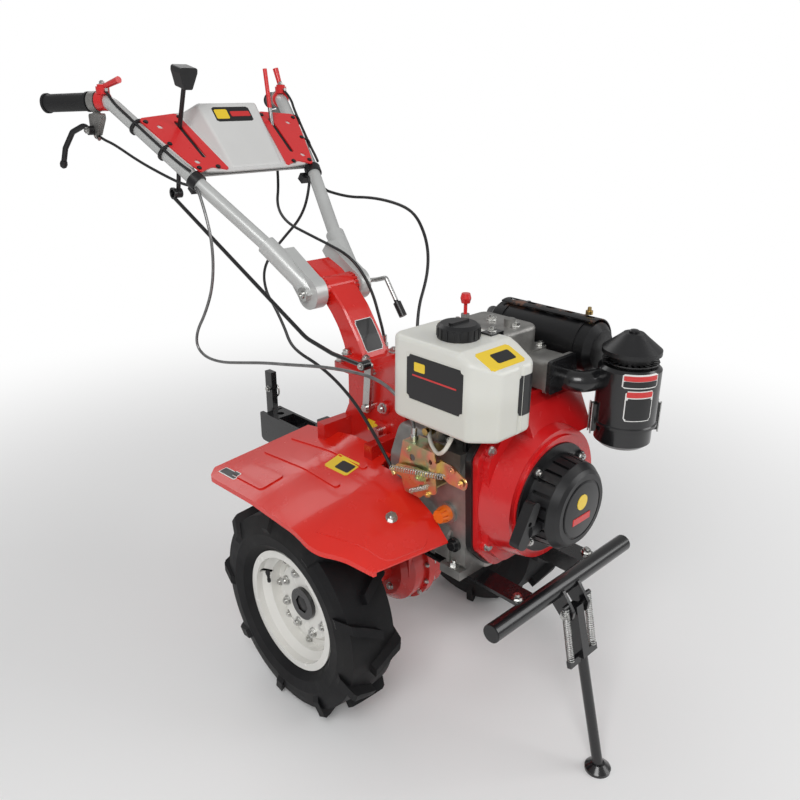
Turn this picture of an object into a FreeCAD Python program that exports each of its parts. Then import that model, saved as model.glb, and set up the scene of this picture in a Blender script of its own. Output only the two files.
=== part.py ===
# Two-wheeled diesel power weeder on lugged field tyres, parked on its front stand.
# Millimetres. +Z is up, -Y is the front (engine end), +Y the operator's end,
# -X is the operator's right. Pieces are laid out from the point on the floor under
# the middle of the axle, and the finished set is moved along Y to centre its plan box.
import FreeCAD, Part
import math
import os
from FreeCAD import Vector

OUT_DIR = "parts"

# ---- fits and stock -------------------------------------------------------
running_gap = 0.05             # radial, pins and shafts that turn
seat_gap = 0.3                 # between curved pieces that rest on each other
socket_gap = 0.1               # radial, pieces clamped on the handle tubes
sheet = 3.0                    # pressed steel
flat_bar = 6.0                 # brackets and ears
wire_radius = 4.5              # bent steel rod of the small levers
cable_radius = 3.0

# ---- wheels ---------------------------------------------------------------
tyre_radius = 202.0            # to the tips of the lugs
lug_height = 15.0
lug_pairs = 9
lug_width = 17.0
lug_sweep = 38.0               # a lug's lean back from the middle of the tread to its end
tread_half_width = 49.0
section_half_width = 54.0
bead_radius = 105.0
rim_flange_height = 10.0
rim_half_width = 40.0
rim_well_depth = 12.0
rim_well_half = 15.0
disc_step = 8.0                # how far the wheel disc is dished inwards
disc_flat_radius = 70.0
valve_slot_width = 9.0
valve_slot_length = 26.0
track_half = 237.0             # middle of each tyre from the middle plane
hub_radius = 31.0
hub_flange_radius = 66.0
hub_flange = 8.0
shaft_flats = 30.0             # across the flats of the hexagonal half shaft
journal_radius = 20.0
hub_pin_radius = 4.0
hub_pin_inset = 60.0           # from the middle of the tyre

# ---- gear cases -----------------------------------------------------------
case_half_width = 58.0
case_radius = 84.0
case_shoulder = 20.0
case_flange = 8.0              # parting flange round the lower case
bearing_reach = 92.0           # outer end of each axle bearing boss
bearing_boss_radius = 36.0
bearing_depth = 20.0
neck_height = 128.0            # lower case to upper case, above the axle
gearbox_height = 394.0         # top face above the axle
gearbox_rear = 92.0
gearbox_front = -78.0
gearbox_half_width = 64.0
gearbox_corner = 18.0
top_flange = 12.0
top_flange_rear = 126.0
crank_above_axle = 270.0
bell_radius = 84.0
bell_flange_radius = 94.0
bell_flange = 8.0
side_cover_radius = 40.0
side_cover = 7.0

# ---- engine ---------------------------------------------------------------
crank_above_base = 140.0
engine_rear = -96.0
engine_front = -272.0
engine_half_width = 116.0
engine_foot_half_width = 128.0
engine_foot_height = 16.0
crankcase_height = 216.0
cylinder_height = 92.0
cylinder_half_width = 58.0
cylinder_offset = 18.0         # cylinder axis towards +X
cylinder_rear = -130.0
cylinder_front = -270.0
fin_count = 8
fin = 4.0
fin_depth = 10.0
head_height = 50.0
rocker_height = 40.0
gasket = 12.0
shroud_rim = 10.0
shroud_depth = 62.0
drum_radius = 122.0
recoil_flange_radius = 92.0
recoil_radius = 76.0
recoil_face_radius = 64.0
recoil_depth = 58.0
recoil_guide_radius = 13.0
recoil_slots = 24
recoil_slot_width = 5.0
recoil_slot_depth = 9.0

# ---- fuel tank ------------------------------------------------------------
tank_above_case = 58.0
tank_height = 132.0
tank_near = -172.0
tank_far = -50.0
tank_rear = -150.0
tank_front = -344.0
tank_round = 16.0
tank_slope = 24.0              # fall of the shoulder over the front end
tank_label_recess = 0.8
cap_radius = 32.0
cap_height = 22.0
cap_x = -113.0
cap_y = -238.0
cap_ribs = 18

# ---- exhaust and air ------------------------------------------------------
muffler_x = 122.0
muffler_above_head = 0.0       # axis above the top of the cylinder head
muffler_radius = 42.0
muffler_rear = -126.0
muffler_front = -338.0
shield_gap = 4.0
shield = 2.0
shield_holes = 5
exhaust_radius = 15.0
air_x = 118.0
air_y = -394.0
air_radius = 49.0
air_height = 100.0
air_top_below_head = 8.0       # top of the body below the top of the head
bowl_height = 34.0
dome_radius = 46.0
dome_height = 50.0
intake_near = 8.0
intake_far = 70.0
intake_depth = 50.0
intake_height = 46.0
intake_pipe_radius = 17.0

# ---- fuel and speed controls ----------------------------------------------
pump_x = -96.0
pump_y = -188.0
pump_radius = 17.0
pump_height = 38.0
bracket_x = -150.0             # outer face of the speed bracket
bracket_sheet = 2.5
bracket_rear = -160.0
bracket_front = -236.0
bracket_above_case = 8.0
bracket_depth = 90.0
plug_radius = 14.0
plug_length = 20.0
plug_y = -232.0
plug_above_base = 108.0

# ---- handlebar ------------------------------------------------------------
pivot_y = 186.0
pivot_above_gearbox = 120.0
column_half_width = 31.0
column_round = 6.0
rosette_radius = 26.0
rosette = 10.0
rosette_teeth = 20
pivot_bolt_radius = 8.0
ear_radius = 31.0
ear = 26.0
socket_length = 118.0
tube_radius = 13.5
tube_wall = 2.5
tube_bend_radius = 60.0
grip_radius = 17.5
grip_length = 104.0
grip_end_wall = 6.0
lever_clamp_start = 24.0       # from the tube's upper bend
lever_clamp_length = 16.0
throttle_clamp_length = 18.0
clip_length = 18.0
clip_wall = 4.0
console_height = 50.0
console_skin = 3.0
slot_plate = 3.0
lever_slot_width = 10.0
lever_drop = 107.0             # lower end of the shift lever below the panel
lever_boss_radius = 10.0
link_pin_radius = 3.0
link_drift = 5.2               # room that the rod's open eye needs round its pin
rod_radius = 4.0
gear_arm_x = -78.0
gear_arm_height = 424.0        # its ball end above the axle
gear_shaft_height = 338.0

# ---- fenders --------------------------------------------------------------
fender_inner = 96.0
fender_outer = 326.0
fender_lip = 9.0
fender_emboss = 2.5
stay_width = 20.0

# ---- front end ------------------------------------------------------------
rail_inner = 66.0
rail_outer = 106.0
rail_depth = 34.0
bumper_y = -386.0
bumper_drop = 9.0              # bumper axis below the rails' top
bumper_half_width = 182.0
bumper_radius = 15.0
ear_inner = 18.0
stand_pivot_ahead = 28.0
stand_pivot_below = 33.0
stand_pin_radius = 6.0
stand_lean = 15.0              # degrees the leg leans forward when parked
stand_leg_radius = 9.0
stand_head_half_width = 9.0
stand_yoke_below = 84.0
stand_yoke_half_width = 38.0
stand_foot_radius = 22.0
stand_foot_height = 8.0
spring_radius = 6.0

# ---- rear hitch -----------------------------------------------------------
hitch_bar_half_width = 14.0
hitch_bar_height = 38.0
hitch_bar_top = 222.0          # above the axle
hitch_bar_end = 240.0
hitch_jaw_half_width = 26.0
hitch_jaw_front = 232.0
hitch_jaw_rear = 436.0
hitch_jaw_top = 185.0
hitch_jaw_height = 70.0
hitch_post_height = 164.0
hitch_pin_radius = 8.0
hitch_block_height = 36.0
hitch_block_length = 40.0

# ---- places worked out from the sizes above -------------------------------
axle_height = tyre_radius
rim_flange_radius = bead_radius + rim_flange_height
gearbox_top = axle_height + gearbox_height
crank_height = axle_height + crank_above_axle
engine_base = crank_height - crank_above_base
crankcase_top = engine_base + crankcase_height
plug_height = engine_base + plug_above_base
head_base = crankcase_top + cylinder_height
head_top = head_base + head_height
rocker_top = head_top + rocker_height
shroud_rear = engine_front - gasket
shroud_front = shroud_rear - shroud_depth
tank_bottom = crankcase_top + tank_above_case
tank_top = tank_bottom + tank_height
muffler_height = head_top + muffler_above_head
air_top = head_top - air_top_below_head
air_bottom = air_top - air_height
pivot_height = gearbox_top + pivot_above_gearbox
rail_top = engine_base
bumper_height = rail_top - bumper_drop
stand_pivot_y = bumper_y - stand_pivot_ahead
stand_pivot_height = bumper_height - stand_pivot_below
hitch_pin_y = hitch_jaw_rear - 24 - hitch_block_length / 2
hitch_cross_y = hitch_jaw_front + 52
hitch_cross_height = axle_height + hitch_jaw_top - hitch_jaw_height / 2


def from_pivot(x, back, up):
    return Vector(x, pivot_y + back, pivot_height + up)


tube_root = from_pivot(63.0, 46.0, 38.0)
tube_clip = from_pivot(143.0, 240.0, 191.0)
tube_bend = from_pivot(209.0, 436.0, 333.0)
grip_end = from_pivot(275.0, 566.0, 327.0)
panel_tilt = math.atan2(tube_bend.z - tube_clip.z, tube_bend.y - tube_clip.y)


# ---- shape helpers --------------------------------------------------------
def on_x(x):
    return lambda u, w: Vector(x, u, w)


def on_y(y):
    return lambda u, w: Vector(u, y, w)


def on_z(z):
    return lambda u, w: Vector(u, w, z)


def on_panel(lift):
    """Plane through the handle tubes' axes: u along X, v up the tubes from the clips."""
    across = Vector(0, -math.sin(panel_tilt), math.cos(panel_tilt)) * lift
    along = Vector(0, math.cos(panel_tilt), math.sin(panel_tilt))
    start = Vector(0, tube_clip.y, tube_clip.z) + across
    return lambda u, v: start + Vector(u, 0, 0) + along * v


def flipped(point):
    return Vector(-point.x, point.y, point.z)


def box(x0, x1, y0, y1, z0, z1):
    corner = Vector(min(x0, x1), min(y0, y1), min(z0, z1))
    return Part.makeBox(abs(x1 - x0), abs(y1 - y0), abs(z1 - z0), corner)


def rod(start, end, radius):
    start = Vector(*start)
    run = Vector(*end) - start
    return Part.makeCylinder(radius, run.Length, start, run)


def cone(start, end, radius_start, radius_end):
    start = Vector(*start)
    run = Vector(*end) - start
    return Part.makeCone(radius_start, radius_end, run.Length, start, run)


def corner_arc(before, corner, after, radius):
    """Start, middle and end of the arc that rounds one corner."""
    back = (before - corner).normalize()
    ahead = (after - corner).normalize()
    half = back.getAngle(ahead) / 2
    reach = radius / math.tan(half)
    inward = (back + ahead).normalize()
    middle = corner + inward * (radius / math.sin(half) - radius)
    return corner + back * reach, middle, corner + ahead * reach


def outline(points, place):
    """Closed wire of lines, rounded where a point carries a third number."""
    spots = [place(point[0], point[1]) for point in points]
    radii = [point[2] if len(point) > 2 else 0.0 for point in points]
    corners = []
    for index, spot in enumerate(spots):
        if radii[index] > 0:
            after = spots[(index + 1) % len(spots)]
            corners.append(corner_arc(spots[index - 1], spot, after, radii[index]))
        else:
            corners.append((spot, None, spot))
    edges = []
    for index, (start, middle, end) in enumerate(corners):
        last = corners[index - 1][2]
        if last.distanceToPoint(start) > 1e-6:
            edges.append(Part.LineSegment(last, start).toShape())
        if middle is not None:
            edges.append(Part.Arc(start, middle, end).toShape())
    return Part.Wire(edges)


def slab(points, place, thickness):
    """Solid of one outline, grown along the normal of its plane."""
    face = Part.Face(outline(points, place))
    normal = (place(1, 0) - place(0, 0)).cross(place(0, 1) - place(0, 0)).normalize()
    return face.extrude(normal * thickness)


def plate_x(points, x0, x1):
    return slab(points, on_x(min(x0, x1)), abs(x1 - x0))


def plate_y(points, y0, y1):
    # the normal of the X-Z plane points to -Y
    return slab(points, on_y(max(y0, y1)), abs(y1 - y0))


def plate_z(points, z0, z1):
    return slab(points, on_z(min(z0, z1)), abs(z1 - z0))


def turned(points, origin, axis, place):
    """Full revolve of an outline drawn as (along axis, radius)."""
    face = Part.Face(outline(points, place))
    return face.revolve(origin, axis, 360)


def turned_x(points, y, z):
    return turned(points, Vector(0, y, z), Vector(1, 0, 0), lambda u, r: Vector(u, y, z + r))


def turned_y(points, x, z):
    return turned(points, Vector(x, 0, z), Vector(0, 1, 0), lambda u, r: Vector(x, u, z + r))


def turned_z(points, x, y):
    return turned(points, Vector(x, y, 0), Vector(0, 0, 1), lambda u, r: Vector(x + r, y, u))


def path(points, radius=None):
    """Straight runs joined by tangent arcs; also returns the arc radii."""
    spots = [Vector(*point) for point in points]
    edges = []
    radii = []
    last = spots[0]
    for index in range(1, len(spots) - 1):
        before, spot, after = spots[index - 1:index + 2]
        shorter = min(before.distanceToPoint(spot), spot.distanceToPoint(after))
        turn = (spot - before).getAngle(after - spot)
        bend = radius or 0.45 * shorter / math.tan(turn / 2)
        start, middle, end = corner_arc(before, spot, after, bend)
        edges.append(Part.LineSegment(last, start).toShape())
        edges.append(Part.Arc(start, middle, end).toShape())
        radii.append(bend)
        last = end
    edges.append(Part.LineSegment(last, spots[-1]).toShape())
    return Part.Wire(edges), radii


def tube(points, radius, bend=None, wall=0.0):
    """Round bar or pipe along a path."""
    wire, radii = path(points, bend)
    start = Vector(*points[0])
    heading = Vector(*points[1]) - start
    ring = Part.Wire([Part.makeCircle(radius, start, heading)])
    solid = wire.makePipeShell([ring], True, False)
    if wall > 0:
        hollow = Part.Wire([Part.makeCircle(radius - wall, start, heading)])
        solid = solid.cut(wire.makePipeShell([hollow], True, False))
    return solid


def cable(name, points):
    """A held cable; prints its radii and compares its volume with length by section."""
    wire, radii = path(points)
    solid = tube(points, cable_radius)
    ideal = wire.Length * math.pi * cable_radius ** 2
    print("%s: length %.0f, radii %s, volume ratio %.4f" % (
        name, wire.Length, [round(value) for value in radii], solid.Volume / ideal))
    return solid


def hexagon(flats, x0, x1, y, z):
    corner = flats / 2 / math.cos(math.pi / 6)
    points = []
    for index in range(6):
        angle = math.radians(60 * index)
        points.append((y + corner * math.cos(angle), z + corner * math.sin(angle)))
    return plate_x(points, x0, x1)


def fuse(shapes):
    solid = shapes[0]
    if len(shapes) > 1:
        solid = solid.multiFuse(shapes[1:])
    return solid.removeSplitter()


def together(shapes):
    solids = []
    for shape in shapes:
        solids.extend(shape.Solids)
    return Part.makeCompound(solids)


def mirrored(shape):
    return shape.mirror(Vector(0, 0, 0), Vector(1, 0, 0))


def both_sides(shape):
    return together([shape, mirrored(shape)])


def turned_about(shape, axis, angle, spot):
    copy = shape.copy()
    copy.rotate(Vector(*spot), axis, angle)
    return copy


def around(shape, axis, count, spot):
    return [turned_about(shape, axis, 360.0 * index / count, spot) for index in range(count)]


X_AXIS = Vector(1, 0, 0)
Y_AXIS = Vector(0, 1, 0)
Z_AXIS = Vector(0, 0, 1)


# ---- wheels ---------------------------------------------------------------
def tyre_carcass():
    crown = tyre_radius - lug_height
    seat = rim_half_width - sheet - seat_gap
    belly = (rim_flange_radius + crown) / 2
    right = [(seat, bead_radius), (seat, rim_flange_radius + seat_gap),
             (section_half_width - seat_gap - sheet, rim_flange_radius + lug_height),
             (section_half_width, belly), (section_half_width - sheet, belly + lug_height),
             (tread_half_width - sheet, crown - sheet), (tread_half_width / 4, crown)]
    return turned_x(right + [(-u, r) for u, r in reversed(right)], 0, axle_height)


def tyre_lug():
    """One swept bar of the chevron, on the +X half, at the top of the wheel."""
    reach = section_half_width + lug_height / 3
    half = lug_width / 2
    bend = 0.62 * lug_sweep
    bar = [(-half, -half), (reach / 2, bend - half, 40), (reach, lug_sweep - half),
           (reach, lug_sweep + half), (reach / 2, bend + half, 40), (-half, half)]
    block = slab(bar, on_z(axle_height + rim_flange_radius), tyre_radius)
    belly = (rim_flange_radius + tyre_radius - lug_height) / 2
    shoulder = tyre_radius - lug_height / 4
    envelope = turned_x([(0, belly), (section_half_width - sheet, belly),
                         (section_half_width + sheet, belly + lug_height),
                         (tread_half_width, shoulder), (tread_half_width - lug_height / 3, tyre_radius),
                         (0, tyre_radius), (-lug_width, tyre_radius), (-lug_width, belly)], 0, axle_height)
    return envelope.common(block)


def tyre():
    spot = (0, 0, axle_height)
    lug = tyre_lug()
    right = around(lug, X_AXIS, lug_pairs, spot)
    left = around(turned_about(mirrored(lug), X_AXIS, 180.0 / lug_pairs, spot), X_AXIS, lug_pairs, spot)
    solid = fuse([tyre_carcass()] + right + left)
    solid.translate(Vector(track_half, 0, 0))
    return solid


def rim():
    half = rim_half_width
    bead = bead_radius - seat_gap
    well = bead - rim_well_depth
    ramp = rim_well_half + rim_well_depth
    outer = [(sheet - half, rim_flange_radius), (sheet - half, bead), (-ramp, bead), (-rim_well_half, well),
             (rim_well_half, well), (ramp, bead), (half - sheet, bead), (half - sheet, rim_flange_radius)]
    inner = [(half, rim_flange_radius), (half, bead - sheet), (ramp, bead - sheet),
             (rim_well_half, well - sheet), (-rim_well_half, well - sheet), (-ramp, bead - sheet),
             (-half, bead - sheet), (-half, rim_flange_radius)]
    barrel = turned_x(outer + inner, 0, axle_height)
    edge = well - sheet / 2
    disc = turned_x([(0, hub_radius), (sheet + 1, hub_radius), (sheet + 1, disc_flat_radius),
                     (sheet + 1 - disc_step, disc_flat_radius + disc_step), (sheet + 1 - disc_step, edge),
                     (-disc_step, edge), (-disc_step, disc_flat_radius + disc_step - sheet),
                     (0, disc_flat_radius - sheet)], 0, axle_height)
    slot = box(rim_well_half - sheet, half - 2 * sheet, -valve_slot_width / 2, valve_slot_width / 2,
               axle_height + disc_flat_radius, axle_height + bead)
    slot = turned_about(slot, X_AXIS, -70, (0, 0, axle_height))
    solid = fuse([barrel, disc]).cut(slot)
    solid.translate(Vector(track_half, 0, 0))
    return solid


def hub_pin(radius, spare):
    x = track_half - hub_pin_inset
    reach = hub_radius - 1 + spare
    return rod((x, 0, axle_height - reach), (x, 0, axle_height + reach), radius)


def hub():
    inner_end = bearing_reach + hub_pin_radius * 3
    outer = rod((inner_end, 0, axle_height), (track_half + 3 * hub_pin_radius, 0, axle_height),
                hub_radius - seat_gap)
    flange = rod((track_half - hub_flange, 0, axle_height), (track_half, 0, axle_height), hub_flange_radius)
    ribs = []
    for rib in around(plate_y([(track_half - hub_flange, axle_height), (track_half - hub_flange, axle_height + hub_flange_radius - 6),
                               (inner_end + hub_flange, axle_height + hub_radius - 1), (inner_end + hub_flange, axle_height)], -3, 3),
                      X_AXIS, 4, (0, 0, axle_height)):
        ribs.append(rib)
    bore = hexagon(shaft_flats + 2 * seat_gap, bearing_reach, track_half + hub_radius, 0, axle_height)
    return fuse([outer, flange] + ribs).cut(bore).cut(hub_pin(hub_pin_radius + running_gap, 2))


def half_shaft():
    collar = bearing_reach + sheet * 2
    journal = rod((case_half_width - bearing_depth, 0, axle_height), (collar, 0, axle_height), journal_radius)
    hexed = hexagon(shaft_flats, collar, track_half + sheet, 0, axle_height)
    return fuse([journal, hexed, hub_pin(hub_pin_radius, 0)])


# ---- gear cases -----------------------------------------------------------
def axle_case():
    half = case_half_width
    body = turned_x([(-half, 0), (half, 0), (half, case_radius - case_shoulder),
                     (half - case_shoulder, case_radius), (case_shoulder - half, case_radius),
                     (-half, case_radius - case_shoulder)], 0, axle_height)
    parting = rod((-case_flange, 0, axle_height), (case_flange, 0, axle_height), case_radius + case_flange)
    neck_top = axle_height + neck_height
    neck = plate_x([(-case_radius + case_flange, axle_height), (case_radius - case_flange, axle_height),
                    (gearbox_rear - case_flange, neck_top), (gearbox_front + case_flange, neck_top)],
                   case_shoulder / 2 - half, half - case_shoulder / 2)
    boss = rod((-bearing_reach, 0, axle_height), (bearing_reach, 0, axle_height), bearing_boss_radius)
    solid = fuse([body, parting, neck, boss])
    for side in (-1, 1):
        solid = solid.cut(rod((side * (half - bearing_depth - seat_gap), 0, axle_height),
                              (side * (bearing_reach + 1), 0, axle_height), journal_radius + running_gap))
    return solid


def gearbox():
    bottom = axle_height + neck_height
    flange_base = gearbox_top - top_flange
    waist = gearbox_rear - gearbox_corner
    side = [(gearbox_front + case_flange, bottom), (gearbox_rear - case_flange, bottom),
            (gearbox_rear, bottom + 3 * gearbox_corner), (gearbox_rear, crank_height + gearbox_corner),
            (waist, crank_height + 3 * gearbox_corner), (waist, flange_base), (gearbox_front, flange_base),
            (gearbox_front, bottom + 2 * gearbox_corner)]
    body = plate_x(side, -gearbox_half_width, gearbox_half_width)
    lid = plate_z([(-gearbox_half_width, gearbox_front, gearbox_corner), (gearbox_half_width, gearbox_front, gearbox_corner),
                   (gearbox_half_width, top_flange_rear, gearbox_corner),
                   (-gearbox_half_width, top_flange_rear, gearbox_corner)], flange_base, gearbox_top)
    bell = rod((0, gearbox_front + 1, crank_height), (0, engine_rear, crank_height), bell_radius)
    ring = rod((0, engine_rear + bell_flange, crank_height), (0, engine_rear, crank_height), bell_flange_radius)
    gusset = plate_x([(gearbox_rear - 1, crank_height), (waist, flange_base - 1), (top_flange_rear - 6, flange_base + 1),
                      (gearbox_rear + 6, crank_height + gearbox_corner)], -flat_bar, flat_bar)
    glands = [rod((x, y, gearbox_top - 1), (x, y, gearbox_top + 9), 7) for x, y in ((34, -14), (56, 104))]
    return fuse([body, lid, bell, ring, gusset, side_covers()] + glands)


def side_covers():
    shapes = []
    mid_y = (gearbox_front + gearbox_rear) / 2
    for side in (-1, 1):
        inner = side * (gearbox_half_width - 1)
        outer = side * (gearbox_half_width + side_cover)
        low = crank_height - gearbox_corner * 3
        shapes.append(rod((inner, mid_y, low), (outer, mid_y, low), side_cover_radius))
        shapes.append(rod((inner, -20, axle_height + 300), (outer, -20, axle_height + 300), 18))
        shapes.append(rod((inner, -28, gearbox_top - 48), (outer, -28, gearbox_top - 48), 12))
    return fuse(shapes)


def gear_arm():
    """Selector link on the gearbox's near side, with the pin that carries the shift rod."""
    foot = axle_height + gear_shaft_height
    head = axle_height + gear_arm_height
    outer = gear_arm_x - wire_radius
    link = plate_x([(-8, head, 7), (8, head + 8, 7), (17, foot - 6, 7), (1, foot - 12, 7)],
                   gear_arm_x - flat_bar / 2, gear_arm_x + flat_bar / 2)
    shaft = rod((-gearbox_half_width, 8, foot), (outer - sheet, 8, foot), 7)
    pin = rod((gear_arm_x, 0, head), (gear_arm_x - 5 * wire_radius, 0, head), rod_radius)
    stub = rod((-gearbox_half_width - side_cover, -20, axle_height + 300),
               (-gearbox_half_width - side_cover - 12, -20, axle_height + 300), 9)
    return together([fuse([link, shaft, pin]), stub])


def handle_column():
    base = gearbox_top
    top = pivot_height
    rear = [(pivot_y - 68, base), (pivot_y - 58, top - 92, 60), (pivot_y - 43, top - 64, 80),
            (pivot_y - 23, top - 40, 80), (pivot_y + 4, top - 15), (pivot_y + 19, top + 18),
            (pivot_y + 50, top + 34)]
    front = [(pivot_y + 52, top + 48), (pivot_y + 14, top + 34, 60), (pivot_y - 29, top + 8, 80),
             (pivot_y - 63, top - 23, 80), (pivot_y - 100, top - 73, 80), (pivot_y - 128, base)]
    arm = plate_x(rear + front, -column_half_width, column_half_width)
    corners = [edge for edge in arm.Edges if edge.BoundBox.XLength < 0.01 and edge.BoundBox.ZMin > base - 1
               and edge.BoundBox.ZLength > 1]
    arm = arm.makeChamfer(column_round / 2, corners)
    foot = plate_z([(-44, pivot_y - 138, 8), (44, pivot_y - 138, 8), (44, top_flange_rear - 6, 8),
                    (-44, top_flange_rear - 6, 8)], base, base + top_flange)
    boss = rod((-column_half_width - rosette, pivot_y, top), (column_half_width + rosette, pivot_y, top),
               rosette_radius)
    notch = box(-column_half_width - rosette - 1, column_half_width + rosette + 1, pivot_y - 1.5, pivot_y + 1.5,
                top + rosette_radius - 2, top + rosette_radius + 2)
    keep = box(-column_half_width, column_half_width, 0, 2 * pivot_y, 0, 2 * top)
    teeth = together(around(notch, X_AXIS, rosette_teeth, (0, pivot_y, top))).cut(keep)
    solid = fuse([arm, foot, boss]).cut(teeth)
    return solid.cut(rod((-2 * ear_radius, pivot_y, top), (2 * ear_radius, pivot_y, top),
                         pivot_bolt_radius + running_gap))


# ---- engine ---------------------------------------------------------------
def engine_frame():
    end = bumper_y + bumper_radius / 2
    shapes = [box(-rail_inner, rail_inner, engine_rear - 2, engine_rear + 12, rail_top - rail_depth, rail_top)]
    for side in (-1, 1):
        section = [(side * rail_inner, rail_top), (side * rail_outer, rail_top),
                   (side * rail_outer, rail_top - flat_bar), (side * (rail_inner + flat_bar), rail_top - flat_bar),
                   (side * (rail_inner + flat_bar), rail_top - rail_depth), (side * rail_inner, rail_top - rail_depth)]
        shapes.append(plate_y(section, end, gearbox_front + 8))
    space = rod((-bumper_half_width, bumper_y, bumper_height), (bumper_half_width, bumper_y, bumper_height),
                bumper_radius + seat_gap)
    return fuse(shapes).cut(space)


def crankcase():
    side = engine_half_width
    shoulder = crankcase_top - 48
    body = plate_y([(-side, engine_base + 14, 10), (side, engine_base + 14, 10), (side, shoulder, 30),
                    (side - 38, crankcase_top, 16), (20 - side, crankcase_top, 16), (-side, shoulder, 20)],
                   engine_front, engine_rear)
    shapes = [body, box(36 - side, side - 36, engine_front + 16, engine_rear - 16, engine_base, engine_base + 30)]
    for flank in (-1, 1):
        for y in (engine_front + 22, engine_rear - 24):
            shapes.append(box(flank * rail_inner, flank * engine_foot_half_width, y - 22, y + 22,
                              engine_base, engine_base + engine_foot_height))
        for index in range(4):
            y = engine_front + 30 + 38 * index
            rib = plate_y([(flank * (side - 1), engine_base + 14), (flank * (side + 6), engine_base + 20),
                           (flank * (side + 6), crank_height - 70), (flank * (side - 1), crank_height - 62)], y, y + 5)
            shapes.append(rib)
    cover = rod((side - 1, (engine_front + engine_rear) / 2, crank_height - 10),
                (side + 9, (engine_front + engine_rear) / 2, crank_height - 10), 62)
    filler = rod((2 - side, plug_y, plug_height), (-side - 4, plug_y, plug_height), plug_radius + 4)
    pad = box(pump_x - 18, pump_x + 30, pump_y - 64, pump_y + 30, shoulder, crankcase_top)
    return fuse(shapes + [cover, filler, pad])


def cylinder_block():
    low_x = cylinder_offset - cylinder_half_width
    high_x = cylinder_offset + cylinder_half_width
    core = box(low_x + fin_depth, high_x - fin_depth, cylinder_front + fin_depth, cylinder_rear - fin_depth,
               crankcase_top, head_base)
    pitch = cylinder_height / fin_count
    shapes = [core]
    for index in range(fin_count):
        z = crankcase_top + pitch * (index + 0.5)
        shapes.append(plate_z([(low_x, cylinder_front, fin_depth), (high_x, cylinder_front, fin_depth),
                               (high_x, cylinder_rear, fin_depth), (low_x, cylinder_rear, fin_depth)],
                              z - fin / 2, z + fin / 2))
    return fuse(shapes)


def cylinder_head():
    low_x = cylinder_offset - cylinder_half_width
    high_x = cylinder_offset + cylinder_half_width
    head = plate_z([(low_x, cylinder_front + 2, fin_depth), (high_x, cylinder_front + 2, fin_depth),
                    (high_x, cylinder_rear - 2, fin_depth), (low_x, cylinder_rear - 2, fin_depth)],
                   head_base, head_top)
    slots = []
    for index in range(3):
        z = head_base + fin_depth * (0.8 + 1.3 * index)
        for x in (low_x, high_x):
            slots.append(box(x - fin_depth, x + fin_depth, cylinder_front + 30, cylinder_rear - 30, z, z + fin * 1.5))
    return head.cut(together(slots))


def rocker_cover():
    low_x = cylinder_offset - cylinder_half_width + 6
    high_x = cylinder_offset + cylinder_half_width - 20
    cover = plate_z([(low_x, cylinder_front + 8, 18), (high_x, cylinder_front + 8, 18),
                     (high_x, cylinder_rear - 16, 18), (low_x, cylinder_rear - 16, 18)], head_top, rocker_top)
    cover = cover.makeFillet(8, [edge for edge in cover.Edges if edge.BoundBox.ZMin > rocker_top - 1])
    breather = rod((cylinder_offset - 8, cylinder_front + 34, rocker_top - 4),
                   (cylinder_offset - 8, cylinder_front + 34, rocker_top + 12), 9)
    post = rod((low_x + 24, cylinder_rear - 30, rocker_top - 6), (low_x + 24, cylinder_rear - 30, rocker_top + 8), 7)
    return fuse([cover, breather, post])


def decompression_lever():
    x = cylinder_offset - cylinder_half_width + 30
    y = cylinder_rear - 30
    stem = rod((x, y, rocker_top + 8), (x, y, rocker_top + 26), 3)
    knob = turned_z([(rocker_top + 26, 0), (rocker_top + 26, 7), (rocker_top + 34, 9), (rocker_top + 42, 7),
                     (rocker_top + 42, 0)], x, y)
    return fuse([stem, knob])


def shroud_wire(grow_x=1.0, grow_z=1.0):
    """Outline of the fan housing, as (x, z, corner radius) about the crank axis."""
    points = [(-122, 84, 20), (-112, -80, 30), (-70, -127, 40), (70, -127, 40), (128, -80, 50),
              (140, -2, 40), (140, 118, 20), (96, 164, 20), (-38, 164, 8), (-46, 122, 8), (-90, 122, 14)]
    return [(x * grow_x, crank_height + z * grow_z, radius) for x, z, radius in points]


def blower_gasket():
    return plate_y(shroud_wire(1.035, 1.02), engine_front, shroud_rear)


def blower_housing():
    rim_front = shroud_rear - shroud_rim
    rim_plate = plate_y(shroud_wire(), shroud_rear, rim_front)
    swell = plate_y(shroud_wire(0.9, 0.92), rim_front + 1, rim_front - 12)
    drum = cone((6, rim_front + 1, crank_height + 2), (6, shroud_front, crank_height + 2), drum_radius,
                drum_radius - 12)
    lip = rod((6, shroud_front + 1, crank_height + 2), (6, shroud_front - 4, crank_height + 2),
              recoil_flange_radius + 8)
    duct = plate_x([(rim_front + 2, crank_height + 88), (rim_front + 2, crank_height + 158),
                    (rim_front - 16, crank_height + 150), (shroud_front + 6, crank_height + 88)], -36, 112)
    seat = rod((0, shroud_front - 2, crank_height), (0, shroud_front - 5, crank_height), recoil_flange_radius)
    shapes = [rim_plate, swell, drum, lip, duct]
    for x, z in ((-98, 96), (-96, -74), (112, -64), (118, 128)):
        shapes.append(rod((x, rim_front + 1, crank_height + z), (x, rim_front - 6, crank_height + z), 10))
    return fuse(shapes).cut(seat)


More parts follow.
